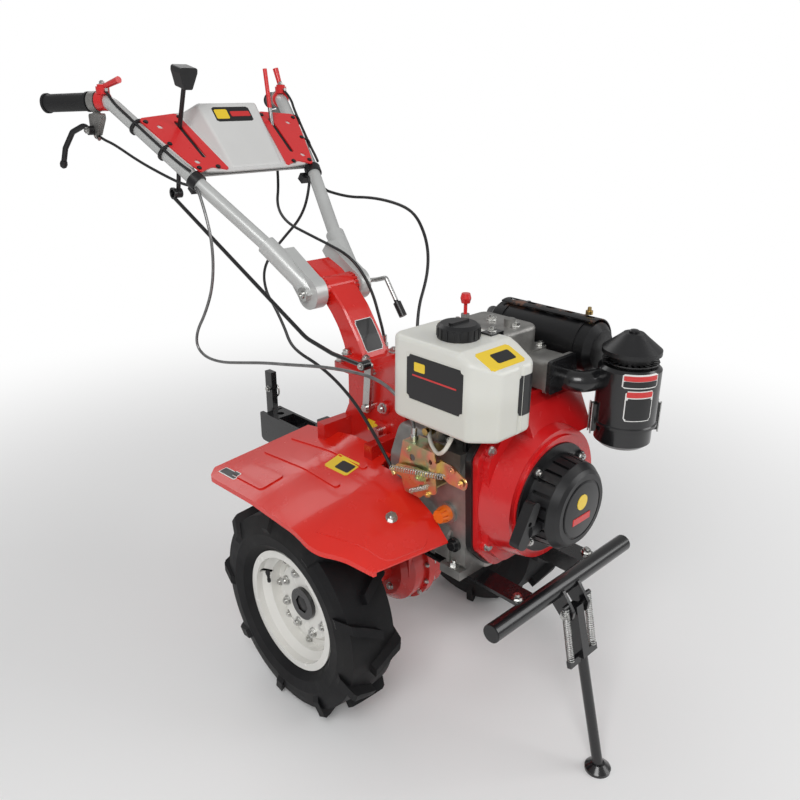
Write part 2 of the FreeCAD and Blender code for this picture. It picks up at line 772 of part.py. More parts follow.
def recoil_starter():
    back = shroud_front - 2
    face = back - recoil_depth
    flange = rod((0, back, crank_height), (0, back - 5, crank_height), recoil_flange_radius - seat_gap)
    drum = turned_y([(back - 4, 0), (back - 4, recoil_radius), (face + 16, recoil_radius - 4),
                     (face + 5, recoil_face_radius), (face, recoil_face_radius - 6), (face, 0)], 0, crank_height)
    slot = box(-recoil_slot_width / 2, recoil_slot_width / 2, face + 18, back - 10,
               crank_height + recoil_radius - recoil_slot_depth, crank_height + recoil_radius + 2)
    slots = together(around(slot, Y_AXIS, recoil_slots, (0, 0, crank_height)))
    panel = rod((0, face - 1, crank_height), (0, face + 1, crank_height), recoil_face_radius - 14)
    groove = panel.cut(rod((0, face - 2, crank_height), (0, face + 2, crank_height), recoil_face_radius - 17))
    shapes = [flange, drum]
    for index in range(4):
        angle = math.radians(40 + 90 * index)
        x = (recoil_flange_radius - 9) * math.cos(angle)
        z = crank_height + (recoil_flange_radius - 9) * math.sin(angle)
        shapes.append(rod((x, back - 4, z), (x, back - 9, z), 9))
    guide = rod(*recoil_guide(back), recoil_guide_radius)
    return together([fuse(shapes + [guide]).cut(slots).cut(groove), recoil_grip(back)])


def recoil_guide(back):
    return ((12 - recoil_radius, back - 22, crank_height - 16), (-24 - recoil_radius, back - 26, crank_height - 10))


def recoil_grip(back):
    """Pull handle, parked against the rope guide."""
    bar = slab([(-13, -38, 10), (13, -38, 10), (9, 38, 8), (-9, 38, 8)], on_y(9), 18)
    bar = turned_about(bar, Y_AXIS, 26, (0, 0, 0))
    hole = rod((0, 20, 4), (0, -20, 4), 4)
    bar = bar.cut(hole)
    bar.translate(Vector(-recoil_radius - 25, back - 26, crank_height))
    return bar.cut(rod(*recoil_guide(back), recoil_guide_radius + seat_gap))


# ---- tank, exhaust, air ---------------------------------------------------
def fuel_tank():
    plan = [(tank_near, tank_rear, 24), (tank_near, tank_front + 32, 20), (tank_near + 32, tank_front, 12),
            (tank_far - 10, tank_front, 20), (tank_far, tank_front + 44, 10), (tank_far, tank_rear, 24)]
    body = plate_z(plan, tank_bottom, tank_top)
    shoulder = plate_x([(tank_front + 58, tank_top + 1), (tank_front - 1, tank_top - tank_slope),
                        (tank_front - 1, tank_top + 1)], tank_near - 1, tank_far + 1)
    body = body.cut(shoulder)
    rims = [edge for edge in body.Edges if edge.BoundBox.ZMin > tank_top - tank_slope - 1]
    body = body.makeFillet(tank_round / 2, rims)
    low = [edge for edge in body.Edges if edge.BoundBox.ZMax < tank_bottom + 1]
    body = body.makeFillet(tank_round / 2, low)
    neck = rod((cap_x, cap_y, tank_top - 2), (cap_x, cap_y, tank_top + 4), cap_radius - 6)
    label = plate_x([(tank_rear - 38, tank_bottom + 38, 6), (tank_rear - 153, tank_bottom + 38, 6),
                     (tank_rear - 153, tank_top - 20, 6), (tank_rear - 38, tank_top - 20, 6)],
                    tank_near - 1, tank_near + tank_label_recess)
    groove = rod((tank_far - 44, tank_front - 2, tank_bottom - 1), (tank_far - 44, tank_front - 2, tank_top), 6)
    return fuse([body, neck]).cut(label).cut(groove)


def fuel_cap():
    inner = cap_radius - 6 + seat_gap
    bottom = tank_top + seat_gap
    top = bottom + cap_height
    cap = turned_z([(bottom, inner), (bottom, cap_radius), (top - 4, cap_radius), (top, cap_radius - 5),
                    (top, 0), (tank_top + 4 + seat_gap, 0), (tank_top + 4 + seat_gap, inner)], cap_x, cap_y)
    rib = box(cap_x - 1.5, cap_x + 1.5, cap_y + cap_radius - 1, cap_y + cap_radius + 1, bottom + 2, top - 6)
    grip_bar = plate_z([(cap_x - 20, cap_y - 4, 3), (cap_x + 20, cap_y - 4, 3), (cap_x + 20, cap_y + 4, 3),
                        (cap_x - 20, cap_y + 4, 3)], top - 1, top + 3)
    return fuse([cap, grip_bar] + around(rib, Z_AXIS, cap_ribs, (cap_x, cap_y, 0)))


def tank_bracket():
    """Shelf under the tank, its stay on the crankcase, and two hooks over the far edge."""
    shelf = box(tank_near + 20, tank_far - 4, tank_front + 44, tank_rear - 30, tank_bottom - flat_bar, tank_bottom)
    stay = box(tank_far - 16, tank_far - 4, tank_front + 82, tank_rear - 50, crankcase_top, tank_bottom - 1)
    shapes = [shelf, stay]
    for y in (tank_rear - 40, tank_front + 84):
        out = tank_far + seat_gap
        strap = box(out, out + sheet, y - 10, y + 10, tank_bottom - flat_bar, tank_top + seat_gap + sheet)
        foot = box(tank_far - 5, out + sheet, y - 10, y + 10, tank_bottom - flat_bar, tank_bottom)
        hook = box(out + sheet, tank_far - 26, y - 10, y + 10, tank_top + seat_gap, tank_top + seat_gap + sheet)
        shapes += [strap, foot, hook]
    return fuse(shapes)


def muffler():
    end = muffler_rear
    tip = muffler_front
    r = muffler_radius
    drum = turned_y([(end, 0), (end, r - 10), (end - 10, r), (tip + 10, r), (tip, r - 10), (tip, 0)],
                    muffler_x, muffler_height)
    shapes = [drum]
    for y in (end - 26, tip + 34):
        shapes.append(turned_y([(y, 0), (y, r + 1.5), (y - 6, r + 1.5), (y - 6, 0)], muffler_x, muffler_height))
    inlet_y = cylinder_rear - 40
    head_side = cylinder_offset + cylinder_half_width
    shapes.append(rod((head_side + 8, inlet_y, muffler_height - 24), (muffler_x - 18, inlet_y, muffler_height - 24), exhaust_radius))
    shapes.append(box(head_side, head_side + 8, inlet_y - 24, inlet_y + 24, muffler_height - 44, muffler_height - 4))
    shapes.append(tube([(muffler_x + 10, end - 6, muffler_height), (muffler_x + 10, end + 26, muffler_height),
                        (muffler_x + 44, end + 50, muffler_height)], exhaust_radius - 3, 24))
    return fuse(shapes)


def heat_shield():
    inner = muffler_radius + shield_gap
    arc = turned_y([(muffler_rear - 14, inner), (muffler_rear - 14, inner + shield),
                    (muffler_front + 12, inner + shield), (muffler_front + 12, inner)], muffler_x, muffler_height)
    keep = box(muffler_x - 14, muffler_x + 2 * inner, muffler_front, muffler_rear, muffler_height, muffler_height + 2 * inner)
    solid = arc.common(keep)
    pitch = (muffler_rear - muffler_front - 60) / (shield_holes - 1)
    for index in range(shield_holes):
        y = muffler_rear - 30 - pitch * index
        hole = plate_z([(muffler_x - 2, y - 9, 4.9), (muffler_x + 8, y - 9, 4.9), (muffler_x + 8, y + 9, 4.9),
                        (muffler_x - 2, y + 9, 4.9)], muffler_height, muffler_height + 2 * inner)
        solid = solid.cut(hole)
    shapes = [solid]
    for y in (muffler_rear - 47, muffler_front + 47):
        shapes.append(rod((muffler_x + 20, y, muffler_height), (muffler_x + 20, y, muffler_height + inner - 2), 4))
    return fuse(shapes).cut(muffler())


def intake_box():
    low = head_top - intake_height - 2
    start = cylinder_front + 2
    end = start - intake_depth
    body = plate_y([(intake_near, low), (intake_far, low), (intake_far, low + intake_height, 8),
                    (intake_near, low + intake_height, 8)], start, end + 6)
    flange = plate_y([(intake_near - 5, low - 4, 6), (intake_far + 5, low - 4, 6),
                      (intake_far + 5, low + intake_height + 4, 6), (intake_near - 5, low + intake_height + 4, 6)],
                     end + 6, end)
    return fuse([body, flange])


def air_cleaner():
    low = air_bottom
    top = air_top
    r = air_radius
    body = turned_z([(low - bowl_height, 0), (low - bowl_height, r - 12), (low - bowl_height + 7, r - 4),
                     (low, r - 4), (low + 2, r + 2), (low + 6, r + 2), (low + 8, r), (top - 5, r), (top, r - 5),
                     (top, 0)], air_x, air_y)
    end = cylinder_front + 2 - intake_depth
    centre_x = (intake_near + intake_far) / 2 + 4
    centre_z = head_top - intake_height / 2 - 10
    flange = plate_y([(intake_near - 4, head_top - intake_height - 6, 6), (intake_far + 4, head_top - intake_height - 6, 6),
                      (intake_far + 4, head_top + 2, 6), (intake_near - 4, head_top + 2, 6)], end, end - 7)
    neck = tube([(centre_x, end - 5, centre_z), (centre_x, end - 34, centre_z), (air_x - 22, air_y + 24, centre_z)],
                intake_pipe_radius, 24)
    shapes = [body, flange, neck]
    for side in (-1, 1):
        clip = box(air_x - 7, air_x + 7, air_y + side * (r - 2), air_y + side * (r + 5), low - 12, low + 34)
        shapes.append(turned_about(clip, Z_AXIS, 50, (air_x, air_y, 0)))
    return fuse(shapes)


def air_cleaner_cap():
    top = air_top
    rise = dome_height
    return turned_z([(top, 0), (top, dome_radius - 12), (top + 0.28 * rise, dome_radius - 12),
                     (top + 0.36 * rise, dome_radius), (top + 0.5 * rise, dome_radius),
                     (top + 0.86 * rise, dome_radius - 22), (top + rise, dome_radius - 30), (top + rise, 0)],
                    air_x, air_y)


# ---- fuel and speed controls ----------------------------------------------
def injection_pump():
    top = crankcase_top + pump_height
    body = rod((pump_x, pump_y, crankcase_top), (pump_x, pump_y, top), pump_radius)
    flange = plate_z([(pump_x - 16, pump_y - 28, 10), (pump_x + 16, pump_y - 28, 10), (pump_x + 16, pump_y + 28, 10),
                      (pump_x - 16, pump_y + 28, 10)], crankcase_top, crankcase_top + 7)
    union = rod((pump_x, pump_y, crankcase_top + 24), (pump_x - 26, pump_y, crankcase_top + 24), 8)
    delivery = tube([(pump_x, pump_y, top - 2), (pump_x, pump_y, top + 6), (pump_x + 8, tank_rear + 12, top + 7),
                     (cylinder_offset - cylinder_half_width - 14, cylinder_rear + 6, head_base + 12),
                     (cylinder_offset - 20, cylinder_rear + 8, head_base + 22),
                     (cylinder_offset - 20, cylinder_rear - 2, head_base + 22)], 3, 5)
    return fuse([body, flange, union, delivery])


def fuel_hose():
    x = pump_x
    y = pump_y - 58
    return rod((x, y, crankcase_top), (x, y, tank_bottom - flat_bar), 4)


def speed_bracket():
    outer = bracket_x
    inner = bracket_x + bracket_sheet
    top = crankcase_top + bracket_above_case
    low = top - bracket_depth
    face = plate_x([(bracket_rear, top), (bracket_front + 6, top), (bracket_front, low + 20, 8),
                    (bracket_front + 26, low + 10, 6), (bracket_front + 36, low, 4), (bracket_rear - 6, low, 4),
                    (bracket_rear + 10, low + 40, 8)], outer, inner)
    for y, z, radius in ((-182, top - 24, 6), (-204, top - 66, 5), (-222, top - 18, 4)):
        face = face.cut(rod((outer - 5, y, z), (inner + 5, y, z), radius))
    flange = box(outer, -engine_half_width - 2, bracket_front + 8, bracket_rear, top - sheet, top)
    foot = box(inner - 1, -engine_half_width, bracket_front + 10, bracket_rear - 20, low + 24, low + 24 + sheet)
    lever_y, lever_z = -208, top - 46
    boss = rod((outer + 1, lever_y, lever_z), (outer - 12, lever_y, lever_z), 9)
    arm = plate_x([(lever_y - 8, lever_z + 12, 6), (lever_y + 10, lever_z + 12, 6), (-154, lever_z + 4, 4),
                   (-144, lever_z - 14, 4), (lever_y + 6, lever_z - 16, 6), (lever_y - 10, lever_z - 10, 6)],
                  outer - 8, outer - 5)
    sector = plate_x([(bracket_front + 2, top - 12), (bracket_front - 26, top - 14, 8), (bracket_front - 56, top - 30, 10),
                      (bracket_front - 52, top - 46, 6), (bracket_front - 20, top - 46, 8), (bracket_front + 2, top - 38)],
                     outer + 8, outer + 8 + bracket_sheet)
    bridge = box(outer, outer + 8 + bracket_sheet, bracket_front + 1, bracket_front + 5, top - 34, top - 16)
    end = Vector(*stop_route[-1])
    heading = (end - Vector(*stop_route[-2])).normalize()
    ferrule = rod(end, end + heading * 12, wire_radius)
    return fuse([face, flange, foot, boss, arm, sector, bridge, ferrule])


def oil_plug():
    wall = -engine_half_width - 4
    plug = turned_x([(wall, 0), (wall, plug_radius), (wall - 8, plug_radius), (wall - plug_length, plug_radius - 3),
                     (wall - plug_length, 0)], plug_y, plug_height)
    rib = box(wall - plug_length - 1, wall - 9, plug_y - 1, plug_y + 1, plug_height + plug_radius - 4, plug_height + plug_radius + 1)
    return plug.cut(together(around(rib, X_AXIS, 10, (0, plug_y, plug_height))))


# ---- fenders --------------------------------------------------------------
def fender_section(x, spots, thickness):
    top = [(y, z, radius) for y, z, radius in spots]
    under = [(y, z - thickness, radius) for y, z, radius in reversed(spots)]
    return outline(top + under, on_x(x))


def fender_skin(thickness):
    rise = axle_height + 260
    inner = [(162, rise, 0), (20, rise + 24, 200), (-130, rise + 18, 120), (-214, rise - 26, 60), (-252, rise - 64, 0)]
    outer = [(174, rise - 28, 0), (20, rise - 22, 200), (-104, rise - 28, 120), (-170, rise - 58, 60),
             (-196, rise - 86, 0)]
    return Part.makeLoft([fender_section(fender_inner, inner, thickness),
                          fender_section(fender_outer, outer, thickness)], True, True)


def fender_plan(inset=0.0):
    side = engine_half_width + 12
    return [(fender_inner - 1, 176 - inset), (fender_outer - 26, 176 - inset, 30), (fender_outer - inset, 150, 20),
            (fender_outer - inset, -140, 60), (fender_outer - 76 - inset / 2, -225 + inset, 80),
            (170, -258 + inset, 40), (side, -256 + inset), (side, engine_rear + 12), (fender_inner - 1, engine_rear + 20)]


def fender():
    low, high = axle_height, gearbox_top
    skin = fender_skin(sheet).common(plate_z(fender_plan(), low, high))
    rim_band = plate_z(fender_plan(), low, high).cut(plate_z(fender_plan(sheet), low - 1, high + 1))
    lip = fender_skin(fender_lip).common(rim_band).common(box(side_of_engine(), 400, -300, 177, low, high))
    raised = fender_skin(sheet)
    raised.translate(Vector(0, 0, fender_emboss))
    marks = [plate_z([(fender_outer - 24, -124), (150, -92), (150, -236, 20), (236, -214, 40)], low, high)]
    for x in (150, 212):
        marks.append(plate_z([(x - 6, -70, 5), (x + 6, -70, 5), (x + 6, 140, 5), (x - 6, 140, 5)], low, high))
    marks.append(plate_z([(250, 30, 8), (300, 30, 8), (300, 120, 8), (250, 120, 8)], low, high))
    emboss = [raised.common(mark) for mark in marks]
    return fuse([skin, lip] + emboss)


def side_of_engine():
    return engine_half_width + 13


def fender_stays():
    skin = fender()
    stays = []
    for y in (-52, 78):
        bar = box(gearbox_half_width, fender_inner + 34, y - stay_width / 2, y + stay_width / 2,
                  axle_height + 256, axle_height + 300)
        bar = bar.cut(skin)
        stays.append(min(bar.Solids, key=lambda solid: solid.CenterOfMass.z))
    return both_sides(together(stays))


# ---- handlebar ------------------------------------------------------------
def tube_points(side):
    return [Vector(side * spot.x, spot.y, spot.z) for spot in (tube_root, tube_clip, tube_bend, grip_end)]


def handle_tube(side):
    return tube(tube_points(side), tube_radius, tube_bend_radius, tube_wall)


def tube_cores(gap):
    return together([tube(tube_points(side), tube_radius + gap, tube_bend_radius) for side in (-1, 1)])


def handle_clamp():
    """Two cast sockets on the pivot bolt, each holding the foot of one tube."""
    inner = column_half_width + rosette + seat_gap
    outer = inner + ear
    along = (tube_clip - tube_root).normalize()
    mouth = tube_root + along * (socket_length - 46)
    disc = rod((inner, pivot_y, pivot_height), (outer, pivot_y, pivot_height), ear_radius)
    centre = from_pivot(inner, 0, 0)
    run = Vector(0, mouth.y - centre.y, mouth.z - centre.z)
    across = Vector(0, -run.z, run.y).normalize()
    corners = [centre + across * (ear_radius - 1), centre + run * 0.8 + across * tube_radius,
               centre + run * 0.8 - across * tube_radius, centre - across * (ear_radius - 1)]
    web = plate_x([(corner.y, corner.z) for corner in corners], inner, outer)
    arm = cone(from_pivot(inner + ear / 2, 0, 0), mouth, tube_radius + 5, tube_radius + 5.5)
    keep = box(inner, 4 * ear, 0, 2 * pivot_y, 0, 2 * pivot_height)
    bore = rod(tube_root - along * seat_gap, mouth + along, tube_radius + socket_gap)
    side = fuse([disc, web, arm.common(keep)]).cut(bore)
    reach = outer + 10
    bolt = rod((-outer - 6, pivot_y, pivot_height), (reach, pivot_y, pivot_height), pivot_bolt_radius)
    head = hexagon(24, -outer - 10, -outer, pivot_y, pivot_height)
    return fuse([side, mirrored(side), bolt, head])


def clamp_lever():
    start = column_half_width + rosette + seat_gap + ear + 10
    x = start + 19
    stem = tube([(start, pivot_y, pivot_height), (x, pivot_y, pivot_height), (x, pivot_y - 14, pivot_height + 3),
                 (x, pivot_y - 42, pivot_height + 12), (x, pivot_y - 74, pivot_height - 32)], wire_radius, 6)
    knob = rod((x, pivot_y - 74, pivot_height - 32), (x, pivot_y - 92, pivot_height - 56), 8)
    return fuse([stem, knob])


def cross_plate():
    """Steel plate between the tubes, with the ears that carry both panel levers."""
    low = [(tube_clip.x - 4, 14), (tube_clip.x + 44, 170)]
    skin = slab([(-low[0][0], low[0][1]), (low[0][0], low[0][1]), (low[1][0], low[1][1]), (-low[1][0], low[1][1])],
                on_panel(-4), sheet)
    for side in (-1, 1):
        slot = slab([(side * 96, 30), (side * 128, 30), (side * 128, 152), (side * 96, 152)], on_panel(-8), 12)
        skin = skin.cut(slot)
    shapes = [skin.cut(tube_cores(socket_gap))]
    for side in (-1, 1):
        x = side * 130
        shapes.append(slab([(-36, 86), (-36, 114, 10), (-2, 124), (-2, 76)],
                           lambda lift, v, x=x: on_panel(lift)(x, v), side * -4.0 if side > 0 else 4.0))
    return fuse(shapes)


def console_hump():
    base = [on_panel(tube_radius - 2)(u, v) for u, v in ((-66, 6), (66, 6), (94, 182), (-94, 182))]
    crest = [on_panel(lift)(u, v) for u, v, lift in ((-58, 12, 20), (58, 12, 20), (70, 162, console_height + 6),
                                                     (-70, 162, console_height + 6))]
    wires = [Part.makePolygon(corners + [corners[0]]) for corners in (base, crest)]
    hump = Part.makeLoft(wires, True, True)
    return hump.makeFillet(9, [edge for edge in hump.Edges if edge.BoundBox.ZMin > base[0].z + 2
                               or edge.BoundBox.ZMax > base[2].z + 2])


def plate_outline():
    return [(100, 176, 8), (190, 163, 10), (176, 118, 8), (150, 38, 8), (136, 2, 6), (104, 16, 16), (70, 4, 4)]


def lever_slot(width):
    half = width / 2
    return [(114 - half, 152, half * 0.9), (114 + half, 152, half * 0.9), (106 + half, 42, half * 0.9),
            (106 - half, 42, half * 0.9)]


def console():
    lift = tube_radius + seat_gap
    skin = slab([(-72, 2, 8), (72, 2, 8), (118, 6, 8), (146, 24, 10), (176, 100, 20), (186, 166, 8), (96, 180, 6),
                 (-96, 180, 6), (-186, 166, 8), (-176, 100, 20), (-146, 24, 10), (-118, 6, 8)],
                on_panel(lift), console_skin)
    solid = fuse([skin, console_hump()])
    for side in (-1, 1):
        hole = slab([(side * u, v, r) for u, v, r in lever_slot(lever_slot_width + 4)], on_panel(lift - 4), 12)
        solid = solid.cut(hole)
    return solid


def slot_plates():
    lift = tube_radius + seat_gap + console_skin
    blank = slab(plate_outline(), on_panel(lift), slot_plate)
    blank = blank.cut(slab(lever_slot(lever_slot_width), on_panel(lift - 1), slot_plate + 2))
    for u, v in ((155, 137), (128, 32)):
        start = on_panel(lift - 1)(u, v)
        end = on_panel(lift + slot_plate + 1)(u, v)
        blank = blank.cut(rod(start, end, 6))
    blank = blank.cut(console_hump())
    return both_sides(blank)


def shift_lever():
    top = on_panel(tube_radius)(-112.6, 134)
    low = on_panel(-lever_drop)(-112, 84)
    head = from_pivot(-117, 300, 362)
    stem = tube([low, top, head], wire_radius, 120)
    boss = rod(low + Vector(6, 0, 0), low + Vector(-8.4, 0, 0), lever_boss_radius)
    pin = rod(low, low + Vector(-18, 0, 0), link_pin_radius)
    knob = plate_y([(-9, -4, 4), (9, -4, 4), (19, 26, 6), (19, 36, 5), (-19, 36, 5), (-19, 26, 6)], -17, 17)
    knob = turned_about(knob, X_AXIS, 12, (0, 0, 0))
    knob.translate(head)
    return fuse([stem, boss, pin, knob])


def reverse_lever():
    low = on_panel(-24)(121, 102)
    top = from_pivot(119, 366, 396)
    blade = tube([low, on_panel(tube_radius)(112.8, 134), top], wire_radius, 120)
    boss = rod(low + Vector(-8, 0, 0), low + Vector(4.7, 0, 0), lever_boss_radius)
    return fuse([blade, boss])


def grips():
    start = grip_end + (tube_bend - grip_end).normalize() * grip_length
    out = (grip_end - start).normalize()
    outer = rod(start, grip_end + out * grip_end_wall, grip_radius)
    inner = rod(start, grip_end, tube_radius + socket_gap)
    shapes = [outer]
    for index in range(2):
        spot = start + out * (grip_length * index + 2)
        shapes.append(rod(spot, spot + out * 5, grip_radius + 2))
    return both_sides(fuse(shapes).cut(inner))


def lever_bracket():
    """Cast clamp inboard of the grip, with the arm that carries the clutch lever."""
    out = (grip_end - tube_bend).normalize()
    start = tube_bend + out * lever_clamp_start
    ring = rod(start, start + out * lever_clamp_length, tube_radius + 6)
    x = start.x + 4
    shape = [(2, 0), (12, 0), (12, -22), (34, -24, 6), (34, -60, 8), (8, -66, 8), (-20, -32, 8), (-20, -22, 4),
             (2, -22)]
    arm = plate_x([(start.y + point[0], start.z + point[1]) + point[2:] for point in shape], x - 6, x + 6)
    return fuse([ring, arm]).cut(tube_cores(socket_gap))


def clutch_lever():
    out = (grip_end - tube_bend).normalize()
    x = (tube_bend + out * lever_clamp_start).x + 4
    y = (tube_bend + out * lever_clamp_start).y
    z = tube_bend.z
    blade = tube([(x + 13, y + 22, z - 60), (x + 16, y + 34, z - 46), (x + 34, y + 56, z - 60),
                  (x + 46, y + 74, z - 92), (x + 50, y + 80, z - 116)], 5.5, 10)
    eye = rod((x + 6, y + 20, z - 56), (x + 17, y + 20, z - 56), 9)
    return fuse([blade, eye])


def throttle_lever(side):
    """Thumb lever in its clamp, on top of the tube near each grip."""
    out = (grip_end - tube_bend).normalize()
    spot = tube_bend + out * (lever_clamp_start - throttle_clamp_length / 2 - 2)
    reach = out * (throttle_clamp_length / 2)
    ring = rod(spot - reach, spot + reach, tube_radius + 5)
    tower = rod((spot.x, spot.y - 4, spot.z + tube_radius), (spot.x, spot.y - 4, spot.z + tube_radius + 14), 13)
    cap = rod((spot.x, spot.y - 4, spot.z + tube_radius + 14), (spot.x, spot.y - 4, spot.z + tube_radius + 18), 10)
    tip = Vector(spot.x - 8, spot.y - 62, spot.z + 40) if side < 0 else Vector(spot.x - 2, spot.y + 10, spot.z + 66)
    lever = cone((spot.x, spot.y - 4, spot.z + tube_radius + 12), tip, 5, 6.5)
    solid = fuse([ring, tower, cap, lever]).cut(tube_cores(socket_gap))
    return mirrored(solid) if side < 0 else solid


def cable_clips():
    along = (tube_clip - tube_root).normalize() * (clip_length / 2)
    band = rod(tube_clip - along, tube_clip + along, tube_radius + clip_wall)
    block = slab([(tube_clip.x - 26, -8), (tube_clip.x + 8, -8), (tube_clip.x + 8, 8), (tube_clip.x - 26, 8)],
                 on_panel(-tube_radius - 12), 16)
    return both_sides(fuse([band, block]).cut(tube_cores(socket_gap)))


def shift_rod():
    """Rod from the gear arm to the shift lever; its upper eye is left open round the pin."""
    low = Vector(gear_arm_x, 0, axle_height + gear_arm_height)
    end = on_panel(-lever_drop)(-112, 84)
    inner = gear_arm_x - flat_bar / 2 - seat_gap
    lane = inner - 4 * rod_radius + 4
    top_x = end.x - 13
    top = Vector(top_x, end.y - 8, end.z - 10)
    bar = tube([(lane, low.y, low.z), (lane, low.y + 84, low.z + 2), (lane, low.y + 160, low.z + 14), top],
               rod_radius, 60)
    eye = rod((inner, low.y, low.z), (lane - rod_radius, low.y, low.z), 2.2 * rod_radius)
    ring_radius = link_pin_radius + link_drift + rod_radius
    upper = rod((end.x - 9, end.y, end.z), (end.x - 14, end.y, end.z), ring_radius)
    solid = fuse([bar, eye, upper])
    solid = solid.cut(rod((gear_arm_x, low.y, low.z), (lane - 9, low.y, low.z), rod_radius + running_gap))
    return solid.cut(rod((end.x, end.y, end.z), (end.x - 24, end.y, end.z), link_pin_radius + link_drift))


# ---- bumper and stand -----------------------------------------------------
def bumper():
    start = (-bumper_half_width, bumper_y, bumper_height)
    end = (bumper_half_width, bumper_y, bumper_height)
    hollow = rod((-bumper_half_width - 1, bumper_y, bumper_height), (bumper_half_width + 1, bumper_y, bumper_height),
                 bumper_radius - sheet)
    shapes = [rod(start, end, bumper_radius)]
    y, z = stand_pivot_y, stand_pivot_height
    for side in (-1, 1):
        shapes.append(plate_x([(bumper_y + 8, bumper_height), (bumper_y - bumper_radius - 1, bumper_height + 6, 4),
                               (y - 12, z + 8, 6), (y - 10, z - 12, 8), (y + 12, z - 10, 8),
                               (bumper_y + 8, bumper_height - 20, 6)],
                              side * ear_inner, side * (ear_inner + flat_bar)))
        shapes.append(rod((side * (ear_inner + 1), y, z + 16), (side * (stand_yoke_half_width - 1), y, z + 16), 4))
    solid = fuse(shapes).cut(hollow)
    return solid.cut(rod((-2 * ear_inner, y, z), (2 * ear_inner, y, z), stand_pin_radius + running_gap))


def lean(shape):
    return turned_about(shape, X_AXIS, -stand_lean, (0, stand_pivot_y, stand_pivot_height))


def stand_leg():
    y, z = stand_pivot_y, stand_pivot_height
    tilt = math.radians(stand_lean)
    length = (z - stand_foot_height) / math.cos(tilt)
    half = stand_head_half_width
    yoke = z - stand_yoke_below
    head = box(-half, half, y - 10, y + 10, yoke, z + 8)
    leg = rod((0, y, yoke + 4), (0, y, z - length), stand_leg_radius)
    pin = rod((-ear_inner - flat_bar - 4, y, z), (ear_inner + flat_bar + 4, y, z), stand_pin_radius)
    cross = box(-stand_yoke_half_width, stand_yoke_half_width, y - 4, y + 4, yoke - 6, yoke + 6)
    leg = lean(fuse([head, leg, pin, cross]))
    foot = turned_z([(0, 0), (0, stand_foot_radius), (5, stand_foot_radius), (stand_foot_height + 6, 11),
                     (stand_foot_height + 6, 0)], 0, y - length * math.sin(tilt))
    return fuse([leg, foot])


def stand_springs():
    x = (ear_inner + flat_bar + stand_yoke_half_width) / 2
    y, z = stand_pivot_y, stand_pivot_height
    upper = Vector(x, y, z + 16)
    lower = lean(Part.Vertex(Vector(x, y, z - stand_yoke_below + 6))).Point
    coil = rod(upper, lower, spring_radius)
    return both_sides(coil.cut(bumper()).cut(stand_leg()))


# ---- rear hitch -----------------------------------------------------------
def hitch():
    """Drawbar on the gearbox, and the open jaw with its upright depth post."""
    bar_top = axle_height + hitch_bar_top
    jaw_top = axle_height + hitch_jaw_top
    jaw_low = jaw_top - hitch_jaw_height
    half = hitch_bar_half_width
    pad = box(-2 * half, 2 * half, gearbox_rear, gearbox_rear + 12, jaw_top - 50, bar_top)
    bar = box(-half, half, gearbox_rear + 11, hitch_bar_end, bar_top - hitch_bar_height, bar_top)
    eye = rod((-half - 4, hitch_bar_end - 20, bar_top - 20), (half + 4, hitch_bar_end - 20, bar_top - 20), 22)
    drop = box(-half, half, hitch_bar_end - 20, hitch_bar_end + 6, jaw_low, bar_top - 10)
    shapes = [pad, bar, eye, drop]
    outer = hitch_jaw_half_width
    for side in (-1, 1):
        shapes.append(plate_x([(hitch_jaw_front, jaw_low, 6), (hitch_jaw_rear, jaw_low, 10),
                               (hitch_jaw_rear, jaw_top, 6), (hitch_jaw_front, jaw_top, 6)],
                              side * (outer - flat_bar), side * outer))
    shapes.append(box(-outer, outer, hitch_jaw_front, hitch_jaw_front + 8, jaw_low, jaw_top))
    shapes.append(box(-outer, outer, hitch_jaw_rear - 24 - hitch_block_length, hitch_jaw_rear - 24,
                      jaw_top - hitch_block_height, jaw_top))
    post = box(-7, 7, hitch_jaw_rear - 25, hitch_jaw_rear - 1, jaw_low + 10, jaw_low + hitch_post_height)
    shapes.append(post)
    shapes.append(box(-outer + 1, outer - 1, hitch_jaw_rear - 25, hitch_jaw_rear - 1, jaw_top - 20, jaw_top - 8))
    solid = fuse(shapes)
    solid = solid.cut(rod((0, hitch_pin_y, jaw_low), (0, hitch_pin_y, jaw_top + 1), hitch_pin_radius))
    return solid.cut(rod((-2 * outer, hitch_cross_y, hitch_cross_height),
                         (2 * outer, hitch_cross_y, hitch_cross_height), hitch_pin_radius))


# ---- cables ---------------------------------------------------------------
throttle_route = [(-152, 404, 888), (-157, 372, 842), (-160, 356, 780), (-163, 364, 712), (-165, 398, 652),
                  (-166, 437, 606), (-166, 444, 572), (-166, 412, 556), (-166, 350, 560), (-165, 276, 578),
                  (-163, 200, 597), (-160, 124, 612), (-156, 48, 628), (-150, -24, 638), (-142, -86, 640),
                  (-136, -132, 622), (-134, -164, 590), (-134, -170, 572), (-134, -170, 556.3)]
stop_route = [(120.7, 412, 884), (113, 410, 850), (100, 425, 807), (78, 450, 771), (48, 469, 730),
              (20, 458, 698), (-8, 410, 667), (-30, 345, 647), (-62, 272, 628), (-92, 215, 617),
              (-114, 156, 616), (-118, 96, 610), (-122, 36, 594), (-130, -23, 571), (-142, -77, 543),
              (-152, -113, 524), (-156, -141, 500)]
clutch_route = [(150, 385, 868), (160, 340, 859), (166, 258, 866), (160, 171, 862), (150, 118, 850),
                (138, 81, 821), (124, 56, 792), (108, 40, 762), (88, 28, 735), (62, 17, 704),
                (40, 0, 660), (34, -12, 632), (34, -14, 605.3)]
reverse_route = [(121, 528, 929.2), (104, 500, 878), (72, 468, 834), (46, 398, 810), (38, 318, 799),
                 (34, 240, 787), (34, 188, 776), (44, 159, 750), (54, 136, 706), (55, 118, 660),
                 (56, 106, 626), (56, 104, 605.3)]
